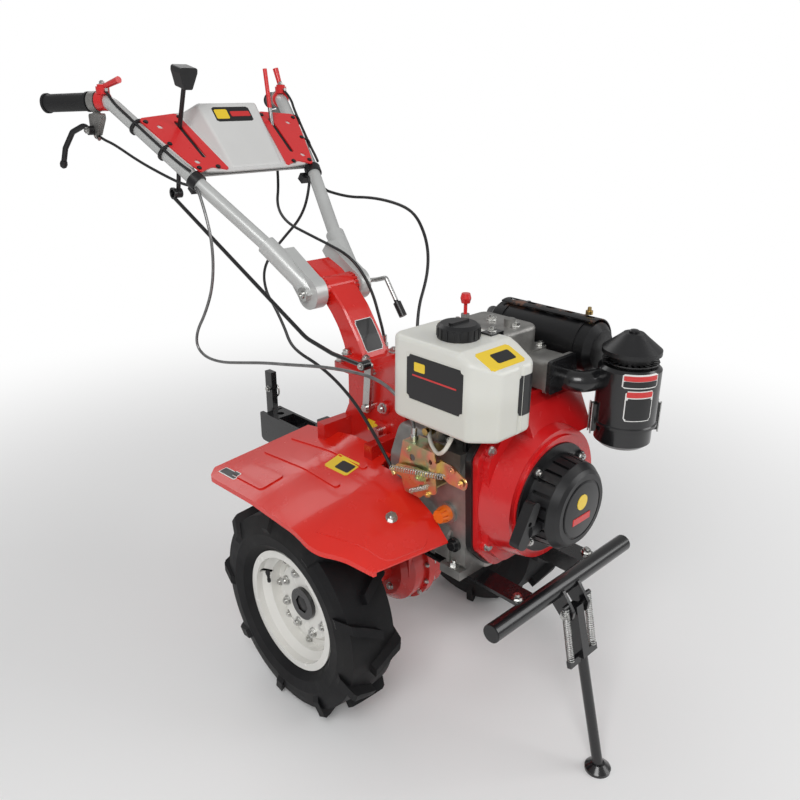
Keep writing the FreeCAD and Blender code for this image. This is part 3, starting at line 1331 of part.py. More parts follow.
ROUTES = {"throttle_cable": throttle_route, "stop_cable": stop_route, "clutch_cable": clutch_route,
          "reverse_cable": reverse_route}


def build_parts():
    parts = {}
    for name, shape in {"tyre": tyre(), "rim": rim(), "hub": together([hub(), half_shaft()])}.items():
        parts[name + "_left"] = shape
        parts[name + "_right"] = mirrored(shape)
    parts.update({
        "axle_case": axle_case(), "gearbox": gearbox(), "handle_column": handle_column(), "hitch": hitch(),
        "engine_frame": engine_frame(), "crankcase": crankcase(), "cylinder_block": cylinder_block(),
        "cylinder_head": cylinder_head(), "rocker_cover": rocker_cover(),
        "decompression_lever": decompression_lever(), "blower_gasket": blower_gasket(),
        "blower_housing": blower_housing(), "recoil_starter": recoil_starter(), "fuel_tank": fuel_tank(),
        "fuel_cap": fuel_cap(), "tank_bracket": tank_bracket(), "muffler": muffler(),
        "heat_shield": heat_shield(), "intake_box": intake_box(), "air_cleaner": air_cleaner(),
        "air_cleaner_cap": air_cleaner_cap(), "injection_pump": injection_pump(), "fuel_hose": fuel_hose(),
        "speed_bracket": speed_bracket(), "oil_plug": oil_plug(), "fender_left": fender(),
        "fender_right": mirrored(fender()), "fender_stays": fender_stays(), "gear_arm": gear_arm(),
        "handle_clamp": handle_clamp(), "handle_tube_left": handle_tube(1), "handle_tube_right": handle_tube(-1),
        "clamp_lever": clamp_lever(), "cross_plate": cross_plate(), "console": console(),
        "slot_plates": slot_plates(), "shift_lever": shift_lever(), "reverse_lever": reverse_lever(),
        "grips": grips(), "lever_brackets": both_sides(lever_bracket()),
        "clutch_levers": both_sides(clutch_lever()),
        "throttle_levers": together([throttle_lever(-1), throttle_lever(1)]), "cable_clips": cable_clips(),
        "shift_rod": shift_rod(), "bumper": bumper(), "stand_leg": stand_leg(),
        "stand_springs": stand_springs()})
    for name, route in ROUTES.items():
        parts[name] = cable(name, route)
    return parts


def main():
    os.makedirs(OUT_DIR, exist_ok=True)
    parts = build_parts()
    whole = Part.makeCompound(list(parts.values())).BoundBox
    shift = Vector(0, -(whole.YMin + whole.YMax) / 2, 0)
    print("plan shift along Y: %.3f" % shift.y)
    for name, shape in sorted(parts.items()):
        shape.translate(shift)
        span = shape.BoundBox
        print("%-18s solids %d valid %s  x %.0f..%.0f y %.0f..%.0f z %.0f..%.0f" % (
            name, len(shape.Solids), shape.isValid(), span.XMin, span.XMax,
            span.YMin, span.YMax, span.ZMin, span.ZMax))
        shape.exportStep(os.path.join(OUT_DIR, name + ".step"))


main()
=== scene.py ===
import math
import bmesh
import bpy
from mathutils import Matrix, Vector
from mathutils.bvhtree import BVHTree

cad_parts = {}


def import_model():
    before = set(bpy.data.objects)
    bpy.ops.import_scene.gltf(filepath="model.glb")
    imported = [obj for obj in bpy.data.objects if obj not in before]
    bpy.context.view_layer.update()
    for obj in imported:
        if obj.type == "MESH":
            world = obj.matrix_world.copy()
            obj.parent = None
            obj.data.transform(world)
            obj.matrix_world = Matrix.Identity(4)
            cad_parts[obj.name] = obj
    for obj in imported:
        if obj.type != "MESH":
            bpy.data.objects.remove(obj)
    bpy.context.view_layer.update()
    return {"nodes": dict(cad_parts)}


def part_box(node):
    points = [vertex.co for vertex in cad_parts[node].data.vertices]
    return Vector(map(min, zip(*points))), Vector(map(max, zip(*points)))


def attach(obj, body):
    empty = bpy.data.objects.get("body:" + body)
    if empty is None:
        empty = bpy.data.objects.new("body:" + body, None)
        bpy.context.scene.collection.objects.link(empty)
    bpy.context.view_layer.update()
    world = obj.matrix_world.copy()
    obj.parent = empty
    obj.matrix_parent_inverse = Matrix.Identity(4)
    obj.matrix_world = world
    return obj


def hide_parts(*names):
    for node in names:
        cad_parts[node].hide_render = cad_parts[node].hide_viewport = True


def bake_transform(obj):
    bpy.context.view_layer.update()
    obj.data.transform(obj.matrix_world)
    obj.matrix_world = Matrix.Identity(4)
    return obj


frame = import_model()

# A two-wheeled diesel power weeder: finishes, small parts, cables and a plain studio.
# Places are in metres from the point on the floor under the middle of the axle:
# x to the machine's left, y to the grips, z up.

nodes = frame["nodes"]
wheelLow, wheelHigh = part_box("tyre_left")
axleY = (wheelLow.y + wheelHigh.y) / 2
axleZ = (wheelLow.z + wheelHigh.z) / 2


def at(x, y, z):
    return Vector((x, y + axleY, z))


def mm(x, y, z):
    return at(x / 1000, y / 1000, z / 1000)


print("frame loaded,", len(nodes), "nodes")


# node sheets: a socket works in sums like a number

class Flow:
    def __init__(self, sheet, socket):
        self.sheet = sheet
        self.socket = socket

    def join(self, operation, first, second):
        made = self.sheet.node("ShaderNodeMath", {"operation": operation}, {0: first, 1: second})
        return made[0]

    def __add__(self, other):
        return self.join("ADD", self, other)

    def __radd__(self, other):
        return self.join("ADD", other, self)

    def __sub__(self, other):
        return self.join("SUBTRACT", self, other)

    def __rsub__(self, other):
        return self.join("SUBTRACT", other, self)

    def __mul__(self, other):
        return self.join("MULTIPLY", self, other)

    def __rmul__(self, other):
        return self.join("MULTIPLY", other, self)

    def above(self, edge, soft):
        made = self.sheet.node("ShaderNodeMapRange", {"interpolation_type": "SMOOTHSTEP"},
                               {"Value": self, "From Min": edge - soft, "From Max": edge + soft})
        return made[0]


class Sheet:
    def __init__(self, tree):
        self.tree = tree
        self.tree.nodes.clear()

    def node(self, kind, settings=None, sockets=None):
        made = self.tree.nodes.new(kind)
        made.location = (len(self.tree.nodes) * 180, 0)
        for key, value in (settings or {}).items():
            if key == "stops":
                for stop in list(made.color_ramp.elements)[1:]:
                    made.color_ramp.elements.remove(stop)
                made.color_ramp.elements[0].position = value[0][0]
                made.color_ramp.elements[0].color = (*value[0][1], 1)
                for place, colour in value[1:]:
                    made.color_ramp.elements.new(place).color = (*colour, 1)
            else:
                setattr(made, key, value)
        for key, value in (sockets or {}).items():
            if isinstance(value, (Flow, list)):
                for flow in value if isinstance(value, list) else [value]:
                    self.tree.links.new(flow.socket, made.inputs[key])
            else:
                made.inputs[key].default_value = value
        return [Flow(self, out) for out in made.outputs]

    def colours(self, factor, first, second):
        made = self.node("ShaderNodeMix", {"data_type": "RGBA"}, {0: factor, 6: (*first, 1), 7: (*second, 1)})
        return made[2]

    def place(self):
        return self.node("ShaderNodeTexCoord")[3]

    def height(self):
        return self.node("ShaderNodeSeparateXYZ", {}, {"Vector": self.place()})[2]

    def attribute(self, name, kind):
        return self.node("GeometryNodeInputNamedAttribute", {"data_type": kind}, {"Name": name})[0]

    def noise(self, scale, detail, rough=0.5):
        made = self.node("ShaderNodeTexNoise", {}, {"Vector": self.place(), "Scale": scale,
                                                    "Detail": detail, "Roughness": rough})
        return made[0]

    def bump(self, height, strength, distance):
        return self.node("ShaderNodeBump", {}, {"Height": height, "Strength": strength,
                                                "Distance": distance})[0]


def openSheet(name):
    material = bpy.data.materials.new(name)
    material.use_nodes = True
    return Sheet(material.node_tree), material


materials = {}


def finish(name, base, rough, metal=0.0, coat=0.0, coatRough=0.05, bump=None, extra=None):
    # base, rough and metal are values or functions of the sheet, and bump is a function of it
    sheet, material = openSheet(name)
    base = base(sheet) if callable(base) else (*base, 1)
    rough = rough(sheet) if callable(rough) else rough
    metal = metal(sheet) if callable(metal) else metal
    sockets = {"Base Color": base, "Roughness": rough, "Metallic": metal, "Coat Weight": coat,
               "Coat Roughness": coatRough}
    if bump:
        sockets["Normal"] = bump(sheet)
    sockets.update(extra or {})
    surface = sheet.node("ShaderNodeBsdfPrincipled", {}, sockets)[0]
    sheet.node("ShaderNodeOutputMaterial", {}, {"Surface": surface})
    materials[name] = material
    return material


def mottled(dark, light, scale, detail=4.0):
    return lambda sheet: sheet.colours(sheet.noise(scale, detail), dark, light)


def gritty(low, high, scale):
    return lambda sheet: sheet.noise(scale, 4.0) * (high - low) + low


def grain(scale, strength, distance):
    return lambda sheet: sheet.bump(sheet.noise(scale, 5.0, 0.6), strength, distance)


paintLook = {"peelScale": 260.0, "peelStrength": 0.05, "peelDepth": 0.0006, "shadeScale": 9.0,
             "roughness": (0.16, 0.34), "roughScale": 34.0, "coat": 0.4, "coatRough": 0.08}


def gloss(name, colour, shade=0.82):
    # sprayed enamel: faint orange peel over a slightly uneven shade
    darker = tuple(channel * shade for channel in colour)
    finish(name, mottled(darker, colour, paintLook["shadeScale"]),
           gritty(*paintLook["roughness"], paintLook["roughScale"]),
           coat=paintLook["coat"], coatRough=paintLook["coatRough"],
           bump=grain(paintLook["peelScale"], paintLook["peelStrength"], paintLook["peelDepth"]))


gloss("fenderRed", (0.80, 0.020, 0.010))
gloss("columnRed", (0.74, 0.016, 0.010))
gloss("gearcaseRed", (0.68, 0.015, 0.010), 0.68)
gloss("shroudRed", (0.68, 0.012, 0.014), 0.8)
gloss("wheelWhite", (0.82, 0.81, 0.77), 0.92)
gloss("bumperBlack", (0.009, 0.009, 0.010))
finish("handleSilver", mottled((0.50, 0.51, 0.50), (0.62, 0.63, 0.62), 14.0), gritty(0.28, 0.42, 60.0),
       metal=0.25, coat=0.3, coatRough=0.15, bump=grain(420.0, 0.04, 0.0004))


tyreLook = {"patchScale": 7.0, "edge": 0.60, "blur": 0.12, "share": 0.3, "rubber": (0.006, 0.006, 0.007),
            "dust": (0.028, 0.026, 0.024)}


def tyreColour(sheet):
    # black rubber with dry dust in patches
    dusty = sheet.noise(tyreLook["patchScale"], 5.0).above(tyreLook["edge"], tyreLook["blur"])
    return sheet.colours(dusty * tyreLook["share"], tyreLook["rubber"], tyreLook["dust"])


finish("tyreRubber", tyreColour, gritty(0.45, 0.75, 26.0), bump=grain(180.0, 0.25, 0.0012),
       extra={"Specular IOR Level": 0.25})
finish("gripRubber", (0.008, 0.008, 0.009), gritty(0.45, 0.65, 60.0), bump=grain(300.0, 0.2, 0.0008))
finish("blackPlastic", mottled((0.006, 0.006, 0.007), (0.013, 0.013, 0.014), 20.0), gritty(0.28, 0.46, 50.0),
       bump=grain(500.0, 0.08, 0.0004))
finish("castAlloy", mottled((0.15, 0.148, 0.14), (0.50, 0.49, 0.47), 38.0, 6.0), gritty(0.34, 0.6, 60.0),
       metal=0.85, bump=grain(420.0, 0.5, 0.0009))
finish("brightSteel", mottled((0.45, 0.45, 0.44), (0.66, 0.66, 0.64), 40.0), gritty(0.2, 0.36, 80.0),
       metal=1.0)
finish("orangePlastic", (0.85, 0.16, 0.012), 0.32, coat=0.3)
finish("redPlastic", (0.70, 0.018, 0.02), gritty(0.24, 0.34, 40.0), coat=0.35)
finish("consoleGrey", mottled((0.62, 0.62, 0.61), (0.70, 0.70, 0.69), 8.0), gritty(0.34, 0.48, 50.0),
       bump=grain(600.0, 0.05, 0.0004))


zincLook = {"scale": 24.0, "bands": [(0.30, (0.70, 0.50, 0.20)), (0.46, (0.78, 0.62, 0.30)),
                                     (0.55, (0.80, 0.42, 0.30)), (0.66, (0.45, 0.55, 0.32)),
                                     (0.8, (0.72, 0.56, 0.24))]}


def zincColour(sheet):
    # gold, pink and green bands of the plating
    drift = sheet.noise(zincLook["scale"], 2.0)
    return sheet.node("ShaderNodeValToRGB", {"stops": zincLook["bands"]}, {"Fac": drift})[0]


finish("passivatedZinc", zincColour, gritty(0.22, 0.4, 60.0), metal=0.95)


def sleeved(name, node, share, bare, cover, blur=0.0005):
    # a steel lever with a sleeve: over its upper part if share is above nought, else over its lower part
    low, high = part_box(node)
    edge = low.z + abs(share) * (high.z - low.z)

    def covered(sheet):
        return sheet.height().above(edge, blur) if share > 0 else 1 - sheet.height().above(edge, blur)

    finish(name, lambda sheet: sheet.colours(covered(sheet), bare, cover), 0.34,
           metal=lambda sheet: 1 - covered(sheet))


sleeved("reverseLever", "reverse_lever", 0.55, (0.30, 0.30, 0.30), (0.70, 0.018, 0.02))
sleeved("clampLever", "clamp_lever", -0.45, (0.55, 0.55, 0.54), (0.008, 0.008, 0.009))

tankLook = {"fuelLevel": 0.668, "blur": 0.02, "share": 0.28, "empty": (0.72, 0.72, 0.67),
            "full": (0.52, 0.51, 0.44), "glow": 0.25, "glowDepth": (0.012, 0.011, 0.009)}


def tankColour(sheet):
    # milky plastic: the fuel inside darkens the lower half a little
    full = 1 - sheet.height().above(tankLook["fuelLevel"], tankLook["blur"])
    return sheet.colours(full * tankLook["share"], tankLook["empty"], tankLook["full"])


finish("tankPlastic", tankColour, gritty(0.26, 0.36, 30.0), bump=grain(160.0, 0.06, 0.0006),
       extra={"Subsurface Weight": tankLook["glow"], "Subsurface Radius": tankLook["glowDepth"]})

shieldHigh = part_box("heat_shield")[1]
shieldLook = {"rustDepth": 0.007, "blur": 0.005, "scale": 30.0, "edge": 0.56, "edgeBlur": 0.06, "share": 0.7,
              "paint": (0.008, 0.008, 0.009), "rust": (0.26, 0.11, 0.06)}


def silencerColour(sheet):
    # heat has browned the top of the shield
    top = sheet.height().above(shieldHigh.z - shieldLook["rustDepth"], shieldLook["blur"])
    patches = sheet.noise(shieldLook["scale"], 6.0, 0.7).above(shieldLook["edge"], shieldLook["edgeBlur"])
    return sheet.colours(patches * top * shieldLook["share"], shieldLook["paint"], shieldLook["rust"])


finish("silencerBlack", silencerColour, gritty(0.3, 0.5, 50.0), metal=0.4, coat=0.15, coatRough=0.2)

# printed labels: colour, roughness and coat
labelLooks = {"labelBlack": ((0.009, 0.009, 0.010), 0.36, 0.15),
              "labelYellow": ((0.86, 0.60, 0.02), 0.34, 0.5),
              "labelRed": ((0.62, 0.02, 0.02), 0.34, 0.5),
              "labelWhite": ((0.78, 0.78, 0.76), 0.36, 0.4)}
for name, (colour, rough, coat) in labelLooks.items():
    finish(name, colour, rough, coat=coat)
finish("brass", mottled((0.52, 0.36, 0.13), (0.70, 0.50, 0.20), 50.0), gritty(0.22, 0.36, 80.0), metal=1.0)
finish("hoseClear", (0.68, 0.66, 0.58), 0.28, coat=0.4)
finish("sheathBlack", (0.012, 0.012, 0.013), 0.42)
finish("sheathSilver", mottled((0.10, 0.10, 0.10), (0.34, 0.34, 0.34), 60.0), gritty(0.25, 0.4, 60.0),
       metal=0.7)
print("finishes:", len(materials))

nodeLooks = {
    "tyreRubber": ["tyre_left", "tyre_right"],
    "wheelWhite": ["rim_left", "rim_right"],
    "bumperBlack": ["hub_left", "hub_right", "hitch", "engine_frame", "tank_bracket", "air_cleaner", "bumper",
                    "stand_leg", "shift_rod"],
    "gearcaseRed": ["axle_case", "gearbox", "fender_stays"],
    "columnRed": ["handle_column"],
    "shroudRed": ["blower_housing"],
    "fenderRed": ["fender_left", "fender_right"],
    "handleSilver": ["handle_clamp", "handle_tube_left", "handle_tube_right", "cross_plate"],
    "castAlloy": ["crankcase", "cylinder_block", "cylinder_head", "rocker_cover", "injection_pump",
                  "intake_box", "lever_brackets"],
    "blackPlastic": ["blower_gasket", "recoil_starter", "fuel_cap", "air_cleaner_cap", "cable_clips",
                     "clutch_levers", "shift_lever"],
    "tankPlastic": ["fuel_tank"],
    "silencerBlack": ["muffler", "heat_shield"],
    "passivatedZinc": ["speed_bracket"],
    "orangePlastic": ["oil_plug"],
    "gripRubber": ["grips"],
    "consoleGrey": ["console"],
    "redPlastic": ["slot_plates", "throttle_levers", "decompression_lever"],
    "brightSteel": ["gear_arm", "stand_springs"],
    "reverseLever": ["reverse_lever"],
    "clampLever": ["clamp_lever"],
    "sheathBlack": ["stop_cable", "clutch_cable", "reverse_cable", "fuel_hose"],
    "sheathSilver": ["throttle_cable"],
}
for look, names in nodeLooks.items():
    for name in names:
        for slot in nodes[name].material_slots:
            slot.material = materials[look]


# tools that make the pieces

lookSlots = {"fenderRed": "fender_red", "columnRed": "column_red", "gearcaseRed": "gearbox_red",
             "shroudRed": "shroud_red", "wheelWhite": "rim_white", "bumperBlack": "black_steel",
             "handleSilver": "silver_paint", "tyreRubber": "tyre", "gripRubber": "black_rubber",
             "blackPlastic": "black_plastic", "castAlloy": "cast_alloy", "brightSteel": "bright_steel",
             "redPlastic": "console_red", "consoleGrey": "console_plastic", "passivatedZinc": "zinc",
             "silencerBlack": "black_steel", "sheathBlack": "cable_black", "sheathSilver": "cable_black"}


def settle(piece, body, look):
    piece.data.materials.clear()
    piece.data.materials.append(materials[look])
    look in lookSlots
    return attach(piece, body) if body else piece


def newPiece(name, mesh):
    piece = bpy.data.objects.new(name, mesh)
    bpy.context.scene.collection.objects.link(piece)
    return piece


def asMesh(holder, name):
    # the evaluated shape as a plain mesh, with the holder removed
    bpy.context.view_layer.update()
    view = bpy.context.evaluated_depsgraph_get()
    mesh = bpy.data.meshes.new_from_object(holder.evaluated_get(view))
    mesh.name = name
    bpy.data.objects.remove(holder)
    return newPiece(name, mesh)


def newTree(name, wanted):
    # a geometry tree with one geometry in and out, and the named inputs that are asked for
    tree = bpy.data.node_groups.new(name, "GeometryNodeTree")
    tree.interface.new_socket(name="Geometry", in_out="INPUT", socket_type="NodeSocketGeometry")
    for label, kind in wanted.items():
        tree.interface.new_socket(name=label, in_out="INPUT", socket_type="NodeSocket" + kind)
    tree.interface.new_socket(name="Geometry", in_out="OUTPUT", socket_type="NodeSocketGeometry")
    sheet = Sheet(tree)
    return sheet, dict(zip(["Geometry"] + list(wanted), sheet.node("NodeGroupInput")))


def scatterOn(sheet, given, shape):
    # copies of one shape on the marks, each turned to its mark's facing and sized by its size
    facing = sheet.attribute("facing", "FLOAT_VECTOR")
    turn = sheet.node("FunctionNodeAlignRotationToVector", {"axis": "Z"}, {"Vector": facing})[0]
    copies = sheet.node("GeometryNodeInstanceOnPoints", {},
                        {"Points": given["Geometry"], "Instance": shape, "Rotation": turn,
                         "Scale": sheet.attribute("size", "FLOAT")})[0]
    real = sheet.node("GeometryNodeRealizeInstances", {}, {"Geometry": copies})[0]
    done = sheet.node("GeometryNodeSetMaterial", {}, {"Geometry": real, "Material": given["Material"]})[0]
    sheet.node("NodeGroupOutput", {}, {"Geometry": done})
    return sheet.tree


def drumAt(sheet, sides, radius, depth, lift):
    drum = sheet.node("GeometryNodeMeshCylinder", {},
                      {"Vertices": sides, "Radius": radius, "Depth": depth})[0]
    up = sheet.node("ShaderNodeCombineXYZ", {}, {"Z": lift})[0]
    return sheet.node("GeometryNodeTransform", {}, {"Geometry": drum, "Translation": up})[0]


roundSides = {"washer": 20, "stud": 12, "coilSteps": 14, "coilWire": 7}


def screwTree():
    lengths = ["Head Radius", "Head Height", "Washer Radius", "Washer Height", "Stud Radius", "Stud Height"]
    sheet, given = newTree("screw_heads", {"Head Sides": "Int", **dict.fromkeys(lengths, "Float"),
                                           "Material": "Material"})
    washer = drumAt(sheet, roundSides["washer"], given["Washer Radius"], given["Washer Height"],
                    given["Washer Height"] * 0.5)
    head = drumAt(sheet, given["Head Sides"], given["Head Radius"], given["Head Height"],
                  given["Washer Height"] + given["Head Height"] * 0.5)
    stud = drumAt(sheet, roundSides["stud"], given["Stud Radius"], given["Stud Height"],
                  given["Stud Height"] * 0.5)
    shape = sheet.node("GeometryNodeJoinGeometry", {}, {"Geometry": [washer, head, stud]})[0]
    return scatterOn(sheet, given, shape)


def coilTree():
    sheet, given = newTree("coil_springs", {"Turns": "Float", "Coil Radius": "Float", "Length": "Float",
                                            "Wire Radius": "Float", "Material": "Material"})
    line = sheet.node("GeometryNodeCurveSpiral", {},
                      {"Resolution": roundSides["coilSteps"], "Rotations": given["Turns"],
                       "Start Radius": given["Coil Radius"], "End Radius": given["Coil Radius"],
                       "Height": given["Length"]})[0]
    ring = sheet.node("GeometryNodeCurvePrimitiveCircle", {},
                      {"Resolution": roundSides["coilWire"], "Radius": given["Wire Radius"]})[0]
    coil = sheet.node("GeometryNodeCurveToMesh", {},
                      {"Curve": line, "Profile Curve": ring, "Fill Caps": True})[0]
    return scatterOn(sheet, given, coil)


def ringTree():
    # a ring of bars round the Z axis, such as louvres
    sheet, given = newTree("rib_rings", {"Count": "Int", "Ring Radius": "Float", "Rib Size": "Vector",
                                         "Material": "Material"})
    rib = sheet.node("GeometryNodeMeshCube", {}, {"Size": given["Rib Size"]})[0]
    ring = sheet.node("GeometryNodeCurvePrimitiveCircle", {},
                      {"Resolution": given["Count"], "Radius": given["Ring Radius"]})[0]
    marks = sheet.node("GeometryNodeCurveToPoints", {"mode": "EVALUATED"}, {"Curve": ring})
    ribs = sheet.node("GeometryNodeInstanceOnPoints", {},
                      {"Points": marks[0], "Instance": rib, "Rotation": marks[3]})[0]
    return scatterOn(sheet, given, sheet.node("GeometryNodeRealizeInstances", {}, {"Geometry": ribs})[0])


trees = {"screws": screwTree(), "coils": coilTree(), "rings": ringTree()}


def scatter(name, body, look, kind, values, marks):
    # marks are (place, facing) or (place, facing, size)
    mesh = bpy.data.meshes.new("marks_" + name)
    mesh.from_pydata([mark[0] for mark in marks], [], [])
    facing = mesh.attributes.new("facing", "FLOAT_VECTOR", "POINT")
    facing.data.foreach_set("vector", [value for mark in marks for value in mark[1]])
    size = mesh.attributes.new("size", "FLOAT", "POINT")
    size.data.foreach_set("value", [mark[2] if len(mark) > 2 else 1.0 for mark in marks])
    holder = newPiece("holder_" + name, mesh)
    build = holder.modifiers.new("build", "NODES")
    build.node_group = trees[kind]
    items = trees[kind].interface.items_tree
    sockets = {item.name: item.identifier for item in items if item.in_out == "INPUT"}
    for label, value in {**values, "Material": materials[look]}.items():
        build[sockets[label]] = value
    return settle(asMesh(holder, name), body, look)


def crossAxes(direction):
    ahead = Vector(direction).normalized()
    side = ahead.orthogonal().normalized()
    return ahead, side, ahead.cross(side)


sharpFrom = math.radians(35)  # facets that meet at less shade as one


def lathe(name, body, look, items, sides=24):
    # each item is (start, direction, profile of (distance along, radius)); all make one mesh
    points, faces = [], []
    for start, direction, profile in items:
        ahead, side, up = crossAxes(direction)
        first = len(points)
        for along, radius in profile:
            for index in range(sides):
                angle = 2 * math.pi * index / sides
                points.append(Vector(start) + ahead * along
                              + (side * math.cos(angle) + up * math.sin(angle)) * radius)
        for row in range(len(profile) - 1):
            for index in range(sides):
                a, b = first + row * sides + index, first + row * sides + (index + 1) % sides
                faces.append((a, b, b + sides, a + sides))
        faces.append(tuple(first + index for index in reversed(range(sides))))
        faces.append(tuple(first + (len(profile) - 1) * sides + index for index in range(sides)))
    mesh = bpy.data.meshes.new(name)
    mesh.from_pydata(points, [], faces)
    mesh.update()
    mesh.shade_smooth()
    mesh.set_sharp_from_angle(angle=sharpFrom)
    return settle(newPiece(name, mesh), body, look)


def blocks(name, body, look, items, rounding=0.0008):
    # each item is (centre, (length, width, height), turn about x, y, z in degrees)
    build = bmesh.new()
    for centre, size, *turn in items:
        spin = Matrix.Identity(4)
        for axis, angle in zip("XYZ", turn[0] if turn else ()):
            spin = Matrix.Rotation(math.radians(angle), 4, axis) @ spin
        place = Matrix.Translation(centre) @ spin @ Matrix.Diagonal((*size, 1))
        bmesh.ops.create_cube(build, size=1.0, matrix=place)
    mesh = bpy.data.meshes.new(name)
    build.to_mesh(mesh)
    build.free()
    piece = newPiece("holder_" + name, mesh)
    if rounding:
        edge = piece.modifiers.new("edge", "BEVEL")
        edge.width = rounding
        edge.segments = 2
    return settle(asMesh(piece, name), body, look)


def wires(name, body, look, lines, radius, smoothness=10):
    # each line is a list of places that a NURBS wire follows
    line = bpy.data.curves.new(name, "CURVE")
    line.dimensions = "3D"
    line.resolution_u = smoothness
    line.bevel_depth = radius
    line.bevel_resolution = 3
    line.use_fill_caps = True
    for places in lines:
        spline = line.splines.new("NURBS")
        spline.points.add(len(places) - 1)
        for point, place in zip(spline.points, places):
            point.co = (*place, 1)
        spline.order_u = 3
        spline.use_endpoint_u = True
    return settle(asMesh(newPiece("holder_" + name, line), name), body, look)


shoulder = 0.0002


def stepped(*steps, start=0):
    # a turned profile: each step gives its end, its radius and, if it tapers, its radius at the end
    profile = []
    for end, radius, *last in steps:
        profile += [(start, radius), (end, last[0] if last else radius)]
        start = end + shoulder
    return profile


def bolts(facing, size, spots):
    # marks for screws that face one way, from places in mm
    return [(mm(*spot), facing, size) for spot in spots]


def boltRing(facing, centre, radius, count, start, size, step=0):
    # marks round a centre in mm, facing along x or y; angles in degrees, step if the ring isn't full
    spots = []
    x, y, z = centre
    for index in range(count):
        angle = math.radians(start + index * (step or 360 / count))
        across, up = radius * math.cos(angle), radius * math.sin(angle)
        spots.append((x, y + across, z + up) if facing[0] else (x + across, y, z + up))
    return bolts(facing, size, spots)


def onSide(side, spot):
    # the same place on the left, 1, or the right, -1
    return (side * spot[0], *spot[1:])


surfaces = {}


def onto(node, start, direction):
    # where a ray from start meets a CAD node, with the surface's normal there
    if node not in surfaces:
        mesh = nodes[node].data
        surfaces[node] = BVHTree.FromPolygons([vertex.co for vertex in mesh.vertices],
                                              [face.vertices[:] for face in mesh.polygons])
    return surfaces[node].ray_cast(start, direction)[:2]


plateRules = {"reach": 0.08, "sink": 0.0003, "corner": 0.12}


def plate(name, node, body, look, centre, across, up, size, lift=0.0006, grid=(18, 12)):
    # a blank plate or film laid on a node, following its surface
    across, up = Vector(across).normalized(), Vector(up).normalized()
    out = across.cross(up)
    columns, rows = grid
    tops, lows = [], []
    for row in range(rows + 1):
        for column in range(columns + 1):
            s, t = 2 * column / columns - 1, 2 * row / rows - 1
            if abs(s) == 1 and abs(t) == 1:
                s *= 1 - plateRules["corner"] * min(size) / size[0]
                t *= 1 - plateRules["corner"] * min(size) / size[1]
            spot = Vector(centre) + across * s * size[0] / 2 + up * t * size[1] / 2
            place = onto(node, spot + out * plateRules["reach"], -out)[0] or spot
            tops.append(place + out * lift)
            lows.append(place - out * plateRules["sink"])
    faces = []
    wide = columns + 1
    count = wide * (rows + 1)
    for row in range(rows):
        for column in range(columns):
            a = row * wide + column
            faces.append((a, a + 1, a + 1 + wide, a + wide))
            faces.append((count + a + wide, count + a + 1 + wide, count + a + 1, count + a))
    rim = (list(range(columns)) + [row * wide + columns for row in range(rows)]
           + [rows * wide + columns - index for index in range(columns)]
           + [(rows - row) * wide for row in range(rows)])
    for first, second in zip(rim, rim[1:] + rim[:1]):
        faces.append((first, count + first, count + second, second))
    mesh = bpy.data.meshes.new(name)
    mesh.from_pydata(tops + lows, [], faces)
    mesh.update()
    return settle(newPiece(name, mesh), body, look)


def plates(node, across, up, rows, grid=(18, 12)):
    # plates on one face of a fixed piece: each has its look, place in mm, size and lift
    for name, (look, spot, size, lift) in rows.items():
        plate(name, node, "chassis", look, mm(*spot), across, up, size, lift, grid)


# cables

cableLook = {"radius": 0.003, "smoothness": 12}
cableRoutes = {
    "throttle_cable": [
        (-152, 404, 888), (-157, 372, 842), (-160, 356, 780), (-163, 364, 712), (-165, 398, 652),
        (-166, 437, 606), (-166, 444, 572), (-166, 412, 556), (-166, 350, 560), (-165, 276, 578),
        (-163, 200, 597), (-160, 124, 612), (-156, 48, 628), (-150, -24, 638), (-142, -86, 640),
        (-136, -132, 622), (-134, -164, 590), (-134, -170, 572), (-134, -170, 556.3)],
    "stop_cable": [
        (120.7, 412, 884), (113, 410, 850), (100, 425, 807), (78, 450, 771), (48, 469, 730), (20, 458, 698),
        (-8, 410, 667), (-30, 345, 647), (-62, 272, 628), (-92, 215, 617), (-114, 156, 616),
        (-118, 96, 610), (-122, 36, 594), (-130, -23, 571), (-142, -77, 543), (-152, -113, 524),
        (-156, -141, 500)],
    "clutch_cable": [
        (150, 385, 868), (160, 340, 859), (166, 258, 866), (160, 171, 862), (150, 118, 850), (138, 81, 821),
        (124, 56, 792), (108, 40, 762), (88, 28, 735), (62, 17, 704), (40, 0, 660), (34, -12, 632),
        (34, -14, 605.3)],
    "reverse_cable": [
        (121, 528, 929.2), (104, 500, 878), (72, 468, 834), (46, 398, 810), (38, 318, 799), (34, 240, 787),
        (34, 188, 776), (44, 159, 750), (54, 136, 706), (55, 118, 660), (56, 106, 626), (56, 104, 605.3)],
}
cableSheaths = {"throttle_cable": "sheathSilver"}
for name, route in cableRoutes.items():
    places = [mm(*spot) for spot in route]
    look = cableSheaths.get(name, "sheathBlack")
    piece = wires("sheath_" + name, None, look, [places], cableLook["radius"], cableLook["smoothness"])
    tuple(places[0])
    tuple(places[-1])
    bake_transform(piece)
    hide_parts(name)
print("cables:", len(cableRoutes))

# handlebar trim

# the left tube in mm, from where it leaves the clip to where it bends to the grip
tubeLow = Vector((143, 426, 907))
tubeHigh = Vector((209, 622, 1049))
tubeAlong = (tubeHigh - tubeLow).normalized()
panelTilt = math.atan2(tubeHigh.z - tubeLow.z, tubeHigh.y - tubeLow.y)
panelUp = Vector((0, math.cos(panelTilt), math.sin(panelTilt)))
panelOut = Vector((0, -math.sin(panelTilt), math.cos(panelTilt)))


